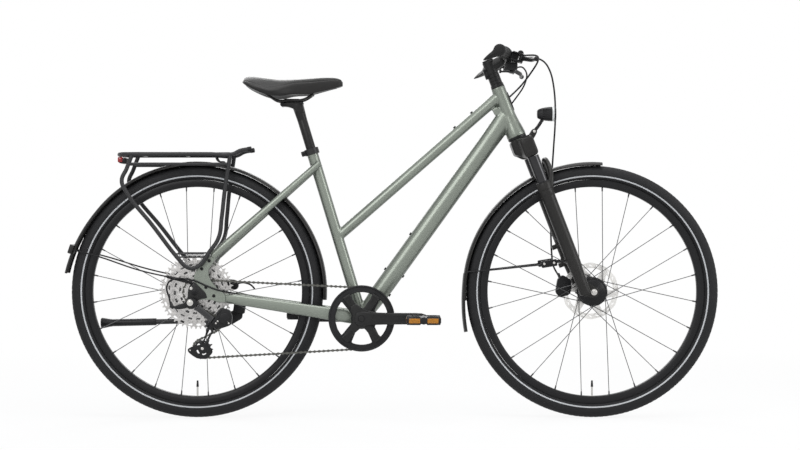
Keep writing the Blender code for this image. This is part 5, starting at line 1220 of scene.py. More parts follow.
inner_plate = plate([rounded(inner_outline, 0.004),
                     rounded([tension_axle + guide_way * u + guide_side * v for u, v in
                              ((0.016, -0.003), (0.016, 0.003), (0.058, 0.003), (0.058, -0.003))],
                             0.003)], CHAIN_Y + 0.0042, CHAIN_Y + 0.0054, 0.0003)
cage_pieces = joined(lower_plate, front_bar, back_bar, upper_plate, inner_plate,
                     across(guide_axle, CHAIN_Y - 0.008, CHAIN_Y + 0.0048, 0.003, 20),
                     across(tension_axle, CHAIN_Y - 0.006, CHAIN_Y + 0.0048, 0.003, 20))
fitted(cage_pieces, derailleur_black, "pulley_cage", "cage", ["derailleur_cage"], 30)
cage_screws = joined(
    bolt_head(tension_axle + Vector((0, CHAIN_Y - 0.0058, 0)), (0, -1, 0), 0.004, 0.0014),
    bolt_head(tension_axle + Vector((-0.0338, CHAIN_Y - 0.005, -0.0046)), (0, -1, 0), 0.0022, 0.0016))
fitted(cage_screws, nut_steel, "pulley_screws", "cage")
for name, body, node, centre, teeth, valley in (
        ("upper_pulley_wheel", "upper_pulley", "guide_pulley", guide_axle, GUIDE_TEETH, valleys[2]),
        ("lower_pulley_wheel", "lower_pulley", "tension_pulley", tension_axle, TENSION_TEETH,
         valleys[1])):
    wheel = plate([toothed(centre, teeth, valley), circle(centre, 0.0034, 24),
                   *windows(centre, 0.0095, pitch_radius(teeth) - 0.0085, 5, 0.6)],
                  CHAIN_Y - 0.0009, CHAIN_Y + 0.0009, 0.0003)
    wheel = joined(wheel, spun((
        (0.0034, CHAIN_Y - 0.0036), (0.007, CHAIN_Y - 0.0036), (0.007, CHAIN_Y + 0.0036),
        (0.0034, CHAIN_Y + 0.0036)), centre, steps=32))
    fitted(wheel, derailleur_grey, name, body, [node], 30)

# Brake calipers: small cast bodies astride the discs, with round caps over their pistons and
# bright bolts to the left chainstay and the left fork leg.
caliper_black = surface("caliper_black", (0.013, 0.013, 0.014), 0.36, 0.4, grain=(1200, 0.08),
                        wear=(0.06, 0.06, 0.06))


def caliper(name, outline, middle, disc_y, disc_centre, near, far, body, node):
    """A caliper with its disc slot and round piston caps on both sides."""
    shell = slab(rounded(outline, 0.006), near, far, 0.0022, 3)
    slot = across(disc_centre, disc_y - 0.0018, disc_y + 0.0018, 0.0812, 128)
    shell = cut(shell, slot)
    cap = joined(across(middle, near - 0.0012, near + 0.002, 0.01, 40, 0.0008),
                 across(middle, far - 0.002, far + 0.0012, 0.01, 40, 0.0008),
                 across(middle, far + 0.0006, far + 0.002, 0.005, 6))
    whole = joined(shell, cap)
    fitted(whole, caliper_black, name, body, [node], 30)


caliper("rear_caliper_casting", [at(*p) for p in (
    (0.056, 0.364), (0.07, 0.356), (0.106, 0.356), (0.112, 0.368), (0.104, 0.384), (0.064, 0.388),
    (0.052, 0.378))], at(0.076, 0.37), 0.0523, rear_axle, 0.04, 0.062, "frame", "rear_caliper")
caliper("front_caliper_casting", [around(front_axle, r, math.radians(a)) for r, a in (
    (0.056, 166), (0.064, 150), (0.092, 150), (0.1, 160), (0.1, 182), (0.09, 192), (0.062, 190),
    (0.056, 182))], around(front_axle, 0.072, math.radians(172)), 0.0395, front_axle, 0.027, 0.048,
        "fork_legs", "front_caliper")
caliper_bolts = joined(*[across(p, 0.048, 0.052, 0.0042, 24, 0.0006) for p in
                         (around(front_axle, 0.09, math.radians(156)),
                          around(front_axle, 0.09, math.radians(184)))])
fitted(caliper_bolts, nut_steel, "front_caliper_bolts", "fork_legs")
rear_bolts = joined(*[across(at(x, z), 0.0618, 0.0655, 0.004, 24, 0.0006) for x, z in
                      ((0.064, 0.38), (0.101, 0.364))])
fitted(rear_bolts, nut_steel, "rear_caliper_bolts", "frame")

# Mudguards: rolled plastic shells with turned-in edges, wire stays and bolts. The front one ends in
# a soft flap, and the rear one is doubled at its top, with a reflector's housing near its tail.
# The mudguards' plastic darkens towards grazing angles: painted shade.
guard_black = surface("mudguard_plastic", (0.022, 0.021, 0.02), 0.38, cloud=(4, 0.1),
                      grain=(1400, 0.05), relief=0.00002, grazing_shade=(0.008, 0.008, 0.008))
wire_black = surface("black_wire", (0.012, 0.012, 0.013), 0.38, 0.3, grain=(900, 0.06))
GUARD_RADIUS, GUARD_HALF, GUARD_WALL, TAIL_FLARE = 0.364, 0.0255, 0.002, 0.012


def tube(points, radius, sides, swell=None, bends="AUTO", steps=6):
    """A round tube or wire through points, with its own radius at each if swell is given."""
    deselect()
    bpy.ops.curve.primitive_bezier_curve_add()
    wire = bpy.context.object
    wire.location = (0, 0, 0)
    wire.data.splines.clear()
    wire.data.dimensions = "3D"
    wire.data.bevel_depth = radius
    wire.data.bevel_resolution = max(0, (sides - 4) // 2)
    wire.data.resolution_u = steps
    wire.data.use_fill_caps = True
    spline = wire.data.splines.new("BEZIER")
    spline.bezier_points.add(len(points) - 1)
    for i, point in enumerate(points):
        knot = spline.bezier_points[i]
        knot.co = point
        knot.handle_left_type = knot.handle_right_type = bends
        knot.radius = swell[i] if swell else 1
    only(wire)
    bpy.ops.object.convert(target="MESH")
    return tidied(bpy.context.object)


def guard_shell(centre, start, end, steps, flare_from=None, lift=0.0, spread=1.0):
    """A rolled shell over a wheel between two angles, flared out towards its end."""
    rings = []
    for i in range(steps + 1):
        a = start + (end - start) * i / steps
        flare = lift
        if flare_from is not None and (end - flare_from) * (a - flare_from) > 0:
            flare += TAIL_FLARE * ((a - flare_from) / (end - flare_from)) ** 1.6
        outside = [(GUARD_RADIUS - drop, GUARD_HALF * spread * y) for drop, y in (
            (0.0092, -1), (0.0078, -0.985), (0.0045, -0.88), (0.0018, -0.68), (0.0005, -0.4), (0, 0),
            (0.0005, 0.4), (0.0018, 0.68), (0.0045, 0.88), (0.0078, 0.985), (0.0092, 1))]
        inside = [(r - GUARD_WALL * (1 - 0.55 * abs(y) / GUARD_HALF), y * 0.93)
                  for r, y in outside[::-1]]
        rings.append([around(centre, r + flare, a, y) for r, y in outside + inside])
    return skinned(rings)


rear_shell = guard_shell(rear_axle, math.radians(-3.7), math.radians(172), 88, math.radians(140))
overlay = guard_shell(rear_axle, math.radians(84), math.radians(98), 8, lift=0.0012, spread=1.03)
reflector_box = block(around(rear_axle, 0.3712, math.radians(161.3)), (0.013, 0.056, 0.026),
                      -math.radians(161.3), 0.0025)
post_foot = Vector((bridge.x, 0, bridge.z)) - rear_axle
guard_post = rod(rear_axle + post_foot.normalized() * 0.362,
                 rear_axle + post_foot - post_foot.normalized() * 0.0074, 0.005, 24)
rear_shell = joined(rear_shell, overlay, reflector_box, guard_post)
fitted(rear_shell, guard_black, "rear_guard_shell", "frame", ["rear_mudguard"], 40)
wires = []
for side in (-1, 1):
    wires.append(tube([at(*p) for p in (
        (-0.344, 0.47, side * 0.0262), (-0.325, 0.4655, side * 0.033), (-0.271, 0.452, side * 0.048),
        (-0.15, 0.414, side * 0.079), (-0.056, 0.3925, side * 0.08))], 0.0021, 12))
    wires.append(rod(at(-0.076, 0.397, side * 0.08), at(-0.01, 0.38, side * 0.08), 0.0042, 20,
                     bevel=0.0008))
    wires.append(across(at(-0.01, 0.38), side * 0.0758, side * 0.082, 0.0046, 20, 0.0008))
fitted(joined(*wires), wire_black, "rear_guard_wires", "frame")

front_shell = guard_shell(front_axle, math.radians(85.6), math.radians(184), 50)
flap = guard_shell(front_axle, math.radians(172), math.radians(197.6), 12, math.radians(176), 0.0012,
                   1.05)
guard_stud = rod(steerer(0.362, 0.044), steerer(0.383, 0.05), 0.005, 24)
front_shell = joined(front_shell, flap, guard_stud)
fitted(front_shell, guard_black, "front_guard_shell", "fork_legs", ["front_mudguard"],
       40)
front_wires = []
eyelet = steerer(0.11, -0.0032)
for side in (-1, 1):
    hook = around(front_axle, 0.356, math.radians(171), side * 0.0254)
    front_wires.append(tube([hook, hook + Vector((0.03, side * 0.005, 0.002)),
                             eyelet + Vector((-0.07, side * 0.06, -0.011))], 0.0021, 12))
    front_wires.append(tube([eyelet + Vector((-0.07, side * 0.06, -0.011)),
                             eyelet + Vector((0, side * 0.065, 0))], 0.0024, 12))
    front_wires.append(block(eyelet + Vector((-0.044, side * 0.0618, -0.007)), (0.044, 0.011, 0.019),
                             -0.16, 0.003))
fitted(joined(*front_wires), wire_black, "front_guard_wires", "fork_legs")
clamp_screws = joined(*[across(eyelet + Vector((-0.044 + x, 0, -0.007 + z)), side * 0.067,
                               side * 0.0686, 0.0034, 20, 0.0004)
                        for side in (-1, 1) for x, z in ((-0.014, -0.001), (0.013, 0.002))])
fitted(clamp_screws, nut_steel, "front_clamp_screws", "fork_legs")

# The rack: bent and welded aluminium tube, powder-coated black, with a deck plate, a spring hook
# and the tail light under its rear bow.
rack_paint = surface("rack_powder_coat", (0.03, 0.03, 0.031), 0.4, cloud=(6, 0.1), grain=(1600, 0.06),
                     relief=0.00003)
RAIL_Z, RACK_REAR, RACK_HALF, RACK_TUBE, LOW_RAIL_Z = 0.7367, -0.2175, 0.06, 0.0058, 0.7087


def flipped(points):
    """Points on the bike's other side."""
    return [Vector((p.x, -p.y, p.z)) for p in points]


def mirrored(piece):
    """A copy of a piece on the bike's other side."""
    only(piece)
    bpy.ops.object.duplicate()
    twin = bpy.context.object
    twin.scale.y = -1
    only(twin)
    bpy.ops.object.transform_apply()
    return tidied(twin)


bow = [at(*p) for p in (
    (0.149, RAIL_Z + 0.0143, -RACK_HALF + 0.01), (0.126, RAIL_Z + 0.01, -RACK_HALF + 0.003),
    (0.1045, RAIL_Z, -RACK_HALF), (0.04, RAIL_Z, -RACK_HALF), (-0.09, RAIL_Z, -RACK_HALF),
    (RACK_REAR + 0.04, RAIL_Z, -RACK_HALF), (RACK_REAR + 0.014, RAIL_Z, -RACK_HALF + 0.01),
    (RACK_REAR + 0.002, RAIL_Z, -RACK_HALF + 0.036))]
bow += flipped(bow[::-1])
strut = [at(*p) for p in (
    (-0.176, RAIL_Z - 0.004, RACK_HALF), (-0.19, 0.696, RACK_HALF + 0.002),
    (-0.203, 0.662, RACK_HALF + 0.006), (-0.19, 0.632, RACK_HALF + 0.008),
    (-0.115, 0.537, RACK_HALF + 0.016), (-0.04, 0.442, RACK_HALF + 0.0245),
    (-0.024, 0.426, RACK_HALF + 0.0265), (-0.006, 0.42, RACK_HALF + 0.0265),
    (0.014, 0.428, RACK_HALF + 0.0265), (0.042, 0.465, RACK_HALF + 0.0245),
    (0.067, 0.504, RACK_HALF + 0.02), (0.075, 0.56, RACK_HALF + 0.013),
    (0.083, 0.637, RACK_HALF + 0.006), (0.097, RAIL_Z - 0.004, RACK_HALF))]
rack_pieces = [tube(bow, RACK_TUBE, 20, steps=8), tube(strut, RACK_TUBE, 20, steps=8)]
rack_pieces.append(mirrored(rack_pieces[1]))
for side in (-1, 1):
    rack_pieces.append(rod(at(-0.188, LOW_RAIL_Z, side * (RACK_HALF + 0.001)),
                           at(0.094, LOW_RAIL_Z, side * (RACK_HALF + 0.001)), 0.0045, 20))
    rack_pieces.append(across(at(0.019, 0.431), side * 0.0758, side * 0.0865, 0.0062, 24, 0.0008))
    for z in (0.451, 0.46):
        rack_pieces.append(tube([at(-0.05 + (0.46 - z), z, side * 0.0815), at(0.028, z, side * 0.0815)],
                                0.0022, 12))
for x in (-0.15, -0.03, 0.088):
    rack_pieces.append(across(at(x, RAIL_Z - 0.0005), -RACK_HALF, RACK_HALF, 0.0045, 20))
rack_pieces.append(block(at(-0.031, RAIL_Z + 0.005), (0.25, 0.06, 0.003), bevel=0.001, segments=2))
rack_pieces.append(tube([at(*p) for p in (
    (0.052, RAIL_Z - 0.004, 0.022), (0.06, RAIL_Z - 0.018, 0.022), (0.072, RAIL_Z - 0.02, 0.012),
    (0.074, RAIL_Z - 0.02, -0.012), (0.06, RAIL_Z - 0.018, -0.022), (0.052, RAIL_Z - 0.004, -0.022))],
                        0.0022, 12))
rack = joined(*rack_pieces)
fitted(rack, rack_paint, "rack_tubes", "frame", ["rear_rack"], 40)
rubber_tips = joined(*[rod(at(0.144, RAIL_Z + 0.0134, side * 0.0508),
                           at(0.1555, RAIL_Z + 0.0153, side * 0.0485), 0.0068, 24, bevel=0.0012)
                       for side in (-1, 1)])
fitted(rubber_tips, plastic_black, "rack_end_plugs", "frame")
fitted(block(at(RACK_REAR + 0.0125, RAIL_Z - 0.017), (0.022, 0.074, 0.016), bevel=0.004), plastic_black,
       "tail_light_housing", "frame")
red_glass = surface("red_lens_fine", (0.32, 0.01, 0.012), 0.16, cloud=(250, 0.3), grain=(400, 0.04),
                    coat=0.6)
fitted(block(at(RACK_REAR + 0.0055, RAIL_Z - 0.015), (0.014, 0.076, 0.015), bevel=0.003), red_glass,
       "tail_light_lens", "frame", ["tail_light"])

# The side stand: a cast mount under the left chainstay and a black leg of two sliding tubes, with
# a row of dimples to set its length and a hoof at its foot. It folds back along the chainstay.
stand_black = surface("stand_black", (0.018, 0.018, 0.019), 0.38, 0.4, grain=(1200, 0.06),
                      wear=(0.07, 0.07, 0.07))
mount = joined(block(at(0.112, 0.3037, 0.064), (0.033, 0.024, 0.029), math.radians(8.8), 0.0035),
               slab(rounded([at(*p) for p in (
                   (0.07, 0.288), (0.099, 0.298), (0.122, 0.296), (0.12, 0.274), (0.09, 0.256),
                   (0.07, 0.258))], 0.006), 0.06, 0.0667, 0.0014))
fitted(mount, plastic_black, "stand_mount_casting", "frame", ["kickstand_mount"], 30)
stand_pivot, foot_end = at(0.081, 0.2686, 0.08), at(-0.285, 0.2595, 0.084)
stand_way = (foot_end - stand_pivot).normalized()
leg_parts = [rod(stand_pivot, stand_pivot + stand_way * 0.233, 0.0075, 32),
             rod(stand_pivot + stand_way * 0.208, foot_end - stand_way * 0.028, 0.0102, 36,
                 bevel=0.0012),
             across(stand_pivot, -0.0125, 0.0125, 0.013, 48, 0.002),
             across(stand_pivot, 0.012, 0.014, 0.006, 6, 0.0004)]
for i in range(9):
    spot = stand_pivot + stand_way * (0.06 + i * 0.015)
    leg_parts[0] = cut(leg_parts[0], rod(spot + Vector((0, 0.003, 0.0068)),
                                         spot + Vector((0, 0.003, 0.012)), 0.0026, 16))
hoof = skinned([ring(foot_end + stand_way * u, stand_way, deep, wide, 28) for u, deep, wide in
                ((-0.036, 0.02, 0.02), (-0.024, 0.023, 0.022), (-0.009, 0.029, 0.026),
                 (-0.003, 0.03, 0.026), (0, 0.026, 0.022))])
leg_parts.append(hoof)
fitted(joined(*leg_parts), stand_black, "stand_leg_tubes", "stand", ["kickstand_leg"],
       30)

# The fork: a forged crown on a steel steerer with two dark chromed stanchions, and cast lowers with
# an arch, bored dropouts and sealing collars. All but the stanchions are black.
fork_black = surface("fork_black_paint", (0.02, 0.0192, 0.0182), 0.34, cloud=(8, 0.08),
                     grain=(1500, 0.05), relief=0.00002)
dark_chrome = surface("dark_chrome_tube", (0.045, 0.045, 0.047), 0.18, 1.0, cloud=(30, 0.08),
                      grain=(600, 0.03))
CROWN_TOP, CROWN_BOTTOM, LEG_FORWARD, LEG_Y = 0.474, 0.414, 0.0175, 0.065


def crown_section(left, low, high, back, front):
    """A rounded outline across the crown at one place left of the bike's middle."""
    corners = [steerer(up, forward, left) for up, forward in
               ((low, back), (low, front), (high, front), (high, back))]
    return rounded(corners, min(0.011, (high - low) * 0.3, (front - back) * 0.3), 5)


crown_rings = [crown_section(*station) for station in (
    (-0.0848, 0.428, 0.458, 0.007, 0.026), (-0.083, 0.42, 0.4665, 0.0, 0.033),
    (-0.079, CROWN_BOTTOM + 0.001, 0.4705, -0.0035, 0.0358),
    (-0.064, CROWN_BOTTOM, 0.4725, -0.006, 0.036), (-0.05, CROWN_BOTTOM + 0.001, 0.4735, -0.009, 0.036),
    (-0.04, 0.425, CROWN_TOP, -0.02, 0.036), (-0.034, 0.429, CROWN_TOP, -0.0255, 0.036),
    (-0.02, 0.43, CROWN_TOP, -0.026, 0.036), (0.0, 0.43, CROWN_TOP, -0.026, 0.036))]
crown_rings += [flipped(points) for points in crown_rings[-2::-1]]
crown = fused(skinned(crown_rings), 0.0015, 5)
lamp_lugs = [slab(rounded([steerer(*p) for p in (
    (0.452, 0.03), (0.472, 0.03), (0.486, 0.048), (0.484, 0.058), (0.474, 0.059), (0.462, 0.046))],
                          0.005), side * 0.0044, side * 0.0072, 0.0006) for side in (-1, 1)]
crown = joined(crown, *lamp_lugs, rod(steerer(0.455), steerer(0.6995), 0.0143, 48, bevel=0.001),
               rod(steerer(0.4735), steerer(0.475), 0.025, 64, bevel=0.0004))
fitted(crown, fork_black, "fork_crown_forging", "steering", ["fork_crown"], 30)
for side, name in ((-1, "right"), (1, "left")):
    stanchion = rod(steerer(0.168, LEG_FORWARD, side * LEG_Y),
                    steerer(CROWN_BOTTOM - 0.0004, LEG_FORWARD, side * LEG_Y), 0.016, 72)
    fitted(stanchion, dark_chrome, f"stanchion_tube_{name}", "steering",
           [f"fork_stanchion_{name}"])
preload_caps = joined(*[rod(steerer(0.469, LEG_FORWARD, side * LEG_Y),
                            steerer(0.4738, LEG_FORWARD, side * LEG_Y), 0.0125, 40, bevel=0.0008)
                        for side in (-1, 1)])
fitted(preload_caps, plastic_black, "fork_top_caps", "steering")
lamp_pivot = steerer(0.478, 0.051)
lug_bolt = joined(across(lamp_pivot, -0.0088, 0.0088, 0.0032, 24, 0.0004),
                  across(lamp_pivot, -0.0092, -0.0072, 0.0044, 6, 0.0003))
fitted(lug_bolt, nut_steel, "lamp_pivot_bolt", "steering")

LEG_PROFILE = (
    (0.0006, 0.0), (0.0145, 0.0), (0.0162, 0.0018), (0.0165, 0.004), (0.0165, 0.04), (0.0178, 0.068),
    (0.0195, 0.095), (0.0195, 0.288), (0.0199, 0.2915), (0.021, 0.295), (0.0215, 0.2985),
    (0.0215, 0.3085), (0.0208, 0.3092), (0.0208, 0.3104), (0.0215, 0.3111), (0.0215, 0.3275),
    (0.0208, 0.3298), (0.0176, 0.33), (0.0168, 0.3285), (0.0168, 0.103), (0.0006, 0.103))
lower_parts = []
for side in (-1, 1):
    leg = spun(LEG_PROFILE, steerer(0.004, LEG_FORWARD, side * LEG_Y), steer_up, 72)
    tip = slab(rounded([steerer(*p) for p in (
        (0.036, 0.01), (-0.002, 0.01), (-0.014, 0.034), (-0.012, 0.05), (0.004, 0.056), (0.014, 0.048),
        (0.038, 0.03))], 0.009), side * 0.05, side * 0.058, 0.0018, 3)
    tip = cut(tip, across(front_axle, side * 0.04, side * 0.07, 0.0055))
    lower_parts += [leg, tip, slab(rounded([steerer(*p) for p in (
        (0.08, 0.004), (0.0, 0.006), (-0.004, 0.03), (0.02, 0.034), (0.06, 0.03))], 0.012),
                                   side * 0.0535, side * 0.07, 0.0055, 4)]
    lower_parts.append(rod(steerer(0.11, 0.002, side * 0.065), steerer(0.11, -0.0028, side * 0.065),
                           0.0056, 24, bevel=0.0006))
for up in (0.098, 0.152):
    lower_parts.append(rod(steerer(up, 0.006, 0.048), steerer(up, -0.016, 0.0465), 0.007, 24,
                           bevel=0.001))
ARCH = ((0.3, 0.024, -0.0655), (0.326, 0.036, -0.065), (0.35, 0.0465, -0.058), (0.374, 0.05, -0.043),
        (0.388, 0.05, -0.024), (0.392, 0.05, 0.0))
arch_line = [steerer(*point) for point in ARCH]
arch_line += flipped(arch_line[-2::-1])
lowers = joined(*lower_parts, tube(arch_line, 0.0082, 24, [1.25, 1.1, 1, 1, 1, 1, 1, 1, 1, 1.1, 1.25]))
fitted(lowers, fork_black, "fork_lower_casting", "fork_legs", ["fork_lowers"], 30)
seals = joined(*[spun([
    (0.0163, 0.33), (0.0196, 0.33), (0.0192, 0.333), (0.017, 0.3344), (0.0163, 0.3344)],
                      steerer(0.004, LEG_FORWARD, side * LEG_Y), steer_up, 64) for side in (-1, 1)])
fitted(seals, plastic_black, "fork_wiper_seals", "fork_legs")

# The stem: a forged alloy clamp over the steerer with spacer rings below it and a faceplate over
# the bar. Two bolts pinch the steerer, four hold the plate and one closes the top cap.
stem_black = surface("stem_black_paint", (0.012, 0.012, 0.012), 0.38, cloud=(12, 0.08),
                     grain=(1500, 0.06), relief=0.00002)
HEAD_TOP, STEM_UP, STEM_REACH = HEAD_LOW + HEAD_LENGTH, 0.7, 0.052
bar_centre = steerer(STEM_UP, STEM_REACH)
spacers = [(0.0006, 0.0003), (0.019, 0.0003), (0.0186, 0.005), (0.018, 0.0095), (0.0172, 0.0102)]
for step in range(3):
    foot = 0.0104 + step * 0.01
    spacers += [(0.0164, foot), (0.017, foot + 0.0004), (0.017, foot + 0.0094), (0.0164, foot + 0.0098)]
spacers += [(0.0164, 0.0404), (0.0006, 0.0404)]
stem = joined(rod(steerer(HEAD_TOP + 0.0402), steerer(0.708), 0.017, 64, bevel=0.0015),
              skinned([ring(steerer(0.69 + 0.008 * t, STEM_REACH * t), steer_forward, 0.034 - 0.004 * t,
                            0.03 + 0.009 * t, 40) for t in (0.05, 0.35, 0.7, 0.95)]),
              across(bar_centre, -0.022, 0.022, 0.0195, 72, 0.0015),
              block(steerer(0.676, -0.017), (0.012, 0.021, 0.03), HEAD_LEAN, 0.002))
stem = fused(stem, 0.0011, 4)
stem = cut(stem, across(bar_centre, -0.03, 0.03, 0.016, 64),
           block(steerer(STEM_UP, STEM_REACH + 0.0185), (0.04, 0.036, 0.0009), HEAD_LEAN),
           block(steerer(0.676, -0.022), (0.03, 0.0013, 0.033), HEAD_LEAN))
stem = joined(stem, spun(spacers, steerer(HEAD_TOP), steer_up, 72),
              rod(steerer(0.708), steerer(0.7117), 0.016, 64, bevel=0.0012))
fitted(stem, stem_black, "stem_forging", "steering", ["stem"], 30)
stem_bolts = [bolt_head(steerer(up, -0.018, -0.0104), (0, -1, 0), 0.0036, 0.0024) for up in
              (0.6675, 0.6845)]
for up in (-0.0115, 0.0115):
    for left in (-0.0135, 0.0135):
        stem_bolts.append(bolt_head(steerer(STEM_UP + up, STEM_REACH + 0.0168, left), steer_forward,
                                    0.0035, 0.0022))
stem_bolts.append(bolt_head(steerer(0.7112), steer_up, 0.0042, 0.0012))
fitted(joined(*stem_bolts), black_steel, "stem_bolts", "steering")

# The handlebar: a swept aluminium tube, thicker in its clamp, with moulded rubber palm grips on
# their clamp rings at both ends.
BAR_STRAIGHT, BAR_HALF, BAR_SWEEP, BAR_FALL = 0.09, 0.31, 0.1636, 0.0409


def bar_at(left):
    """A place on the bar's axis, swept back and dropped outside its middle part."""
    out = max(0, abs(left) - BAR_STRAIGHT)
    return bar_centre + Vector((-BAR_SWEEP * out, left, -BAR_FALL * out))


bar_line = [
    (0.3085, 1), (0.2, 1), (0.12, 1), (0.096, 1), (0.084, 1), (0.06, 1), (0.04, 1.36), (0.03, 1.414)]
bar_line += [(-left, swell) for left, swell in bar_line[::-1]]
handlebar = tube([bar_at(left) for left, swell in bar_line], 0.0111, 28,
                 [swell for left, swell in bar_line], "VECTOR", 1)
fitted(handlebar, stem_black, "handlebar_tube", "steering", ["handlebar"], 40)
GRIP_START, GRIP_LENGTH = BAR_HALF - 0.131, 0.1338
grip_rubber = surface("grip_rubber_fine", (0.012, 0.012, 0.012), 0.6, cloud=(20, 0.08),
                      grain=(1600, 0.1), relief=0.00006)


def grip_ring(left, radius, wing):
    """A ring round the bar, drawn out behind it into a palm rest."""
    rest = math.radians(211)
    points = []
    for i in range(72):
        a = math.tau * (i / 72 - 0.5)
        a -= 0.8 * math.sin(a)
        r = radius + wing * math.exp(-(math.hypot(a, 0.02) / 0.23) ** 1.2)
        points.append(bar_at(left) + Vector((r * math.cos(a + rest), 0, r * math.sin(a + rest))))
    return points


def between(stations, along):
    """The values of a table of stations at a place between two of them, eased."""
    for low, high in zip(stations, stations[1:]):
        if along <= high[0]:
            t = max(0.0, (along - low[0]) / (high[0] - low[0]))
            t = t * t * (3 - 2 * t)
            return [a + (b - a) * t for a, b in zip(low[1:], high[1:])]
    return list(stations[-1][1:])


GRIP_FORM = (
    (0.0, 0.0148, 0.0), (0.0015, 0.017, 0.0), (0.011, 0.016, 0.002), (0.051, 0.0156, 0.008),
    (0.091, 0.0158, 0.028), (0.113, 0.0162, 0.038), (0.123, 0.0163, 0.037), (0.129, 0.0163, 0.02),
    (0.1325, 0.0156, 0.0), (GRIP_LENGTH, 0.0125, 0.0))
grip_rings = []
for i in range(69):
    along = i * GRIP_LENGTH / 68
    radius, wing = between(GRIP_FORM, along)
    ridge = 0.0004 * math.cos(math.tau * along / 0.0078) if 0.016 < along < 0.11 else 0
    grip_rings.append(grip_ring(GRIP_START + along, radius + ridge - 0.0001, wing))
left_grip = skinned(grip_rings)
clamp_ring = rod(bar_at(GRIP_START + 0.001), bar_at(GRIP_START + 0.009), 0.0172, 56, bevel=0.001)
end_plug = rod(bar_at(GRIP_START + 0.133), bar_at(GRIP_START + 0.1343), 0.0095, 40, bevel=0.0004)
left_grip = joined(left_grip, clamp_ring, end_plug)
for name, grip, node in (("right", mirrored(left_grip), "grip_right"),
                         ("left", left_grip, "grip_left")):
    fitted(grip, grip_rubber, f"palm_grip_{name}", "steering", [node], 40)

# Brake controls: a cast perch with its clamp, lugs and reservoir on each side, and a forged lever
# with a ball end on a pin between the lugs.
lever_way, lever_axis = Vector((0.945, 0, -0.326)), Vector((0.326, 0, 0.945))
PERCH_Y, LEVER_Y, TANK_Y = GRIP_START - 0.021, GRIP_START - 0.001, GRIP_START - 0.053
LEVER_REACH, LEVER_BARREL, LEVER_LEAN = 0.048, 0.016, math.radians(19)
control_black = surface("control_black", (0.013, 0.013, 0.014), 0.36, 0.3, grain=(1300, 0.06),
                        relief=0.00002, wear=(0.06, 0.06, 0.06))
LEVER_LINE = (
    (0, 0), (0.01, 0.0045), (0.02, 0.01), (0.035, 0.019), (0.05, 0.0258), (0.068, 0.0285),
    (0.085, 0.03), (0.098, 0.0318), (0.108, 0.034))
for side, name in ((-1, "right"), (1, "left")):
    foot = bar_at(side * PERCH_Y)
    clamp = joined(across(foot, -0.007, 0.007, 0.0165, 48, 0.0012),
                   block(bar_at(side * (PERCH_Y - 0.002)) + lever_way * 0.024, (0.026, 0.012, 0.02),
                         LEVER_LEAN, 0.002))
    tank = bar_at(side * TANK_Y) + lever_way * 0.038 + Vector((0, 0, 0.01))
    clamp = joined(clamp, rod(tank - Vector((0, 0.0355, 0)), tank + Vector((0, 0.0355, 0)), 0.0085, 40,
                              bevel=0.0015))
    for way in (-1, 1):
        lug = bar_at(side * LEVER_Y) + lever_way * (LEVER_REACH - 0.011) - Vector((0, side * 0.008, 0))
        clamp = joined(clamp, block(lug + lever_axis * way * (LEVER_BARREL / 2 + 0.0023),
                                    (0.034, 0.032, 0.0038), LEVER_LEAN, 0.0012))
    perch = fused(clamp, 0.001, 3)
    perch = joined(perch, across(tank, side * -0.0368, side * -0.034, 0.0062, 6, 0.0005),
                   rod(tank + Vector((0, side * 0.012, 0.0078)),
                       tank + Vector((0, side * 0.012, 0.0094)), 0.003, 24, bevel=0.0004))
    fitted(perch, control_black, f"lever_perch_{name}", "steering",
           [f"brake_perch_{name}"], 35)
    pivot = bar_at(side * LEVER_Y) + lever_way * LEVER_REACH
    spots = [pivot + Vector((0, side * out, 0)) + lever_way * ahead for out, ahead in LEVER_LINE]
    blade = []
    for i, spot in enumerate(spots):
        deep = 0.0058 + 0.0012 * math.exp(-i / 2)
        blade.append([spot + lever_way * 0.0036 * math.copysign(abs(math.cos(a)) ** 0.6, math.cos(a))
                      + lever_axis * deep * math.copysign(abs(math.sin(a)) ** 0.7, math.sin(a))
                      for a in (math.tau * j / 24 for j in range(24))])
    ball = spots[-1] + Vector((0, side * 0.003, 0))
    knob = spun([(0.0069 * math.sin(a), -0.0069 * math.cos(a)) for a in
                 (math.pi * (0.02 + 0.96 * t / 16) for t in range(17))], ball, lever_axis, 32)
    lever = joined(skinned(blade), knob,
                   rod(pivot - lever_axis * LEVER_BARREL / 2, pivot + lever_axis * LEVER_BARREL / 2,
                       0.0062, 32, bevel=0.0006))
    fitted(lever, control_black, f"lever_blade_{name}", "right_lever" if side < 0 else "left_lever",
           [f"brake_lever_{name}"], 40)
    pins = joined(*[rod(pivot + lever_axis * way * 0.0118, pivot + lever_axis * way * 0.0128, 0.0034,
                        24, bevel=0.0003) for way in (-1, 1)],
                  *[rod(foot + lever_axis * way * 0.0155, foot + lever_axis * way * 0.0172, 0.003, 24,
                        bevel=0.0003) for way in (-1, 1)])
    fitted(pins, nut_steel, f"lever_pins_{name}", "steering")

# The shifter inside the right grip: a moulded pod hung from its own clamp on the bar, with a
# thumb paddle on a pivot below it.
shifter_plastic = surface("shifter_plastic", (0.014, 0.014, 0.015), 0.42, grain=(1500, 0.07),
                          relief=0.00002)
shift_foot = bar_at(0.025 - PERCH_Y)
pod_centre = shift_foot + Vector((0.012, 0, -0.035))
pod = joined(across(shift_foot, -0.006, 0.006, 0.0158, 48, 0.001),
             block(shift_foot + Vector((0.006, 0, -0.02)), (0.014, 0.01, 0.022), bevel=0.002),
             block(pod_centre, (0.0355, 0.0355, 0.0225), bevel=0.005))
pod = fused(pod, 0.0011, 3)
pod = joined(pod, rod(pod_centre + Vector((0.006, 0.0165, -0.0011)),
                      pod_centre + Vector((0.0082, 0.0196, -0.0015)), 0.004, 24, bevel=0.0005),
             block(pod_centre + Vector((-0.004, 0.008, 0.0118)), (0.016, 0.014, 0.0012), bevel=0.0004))
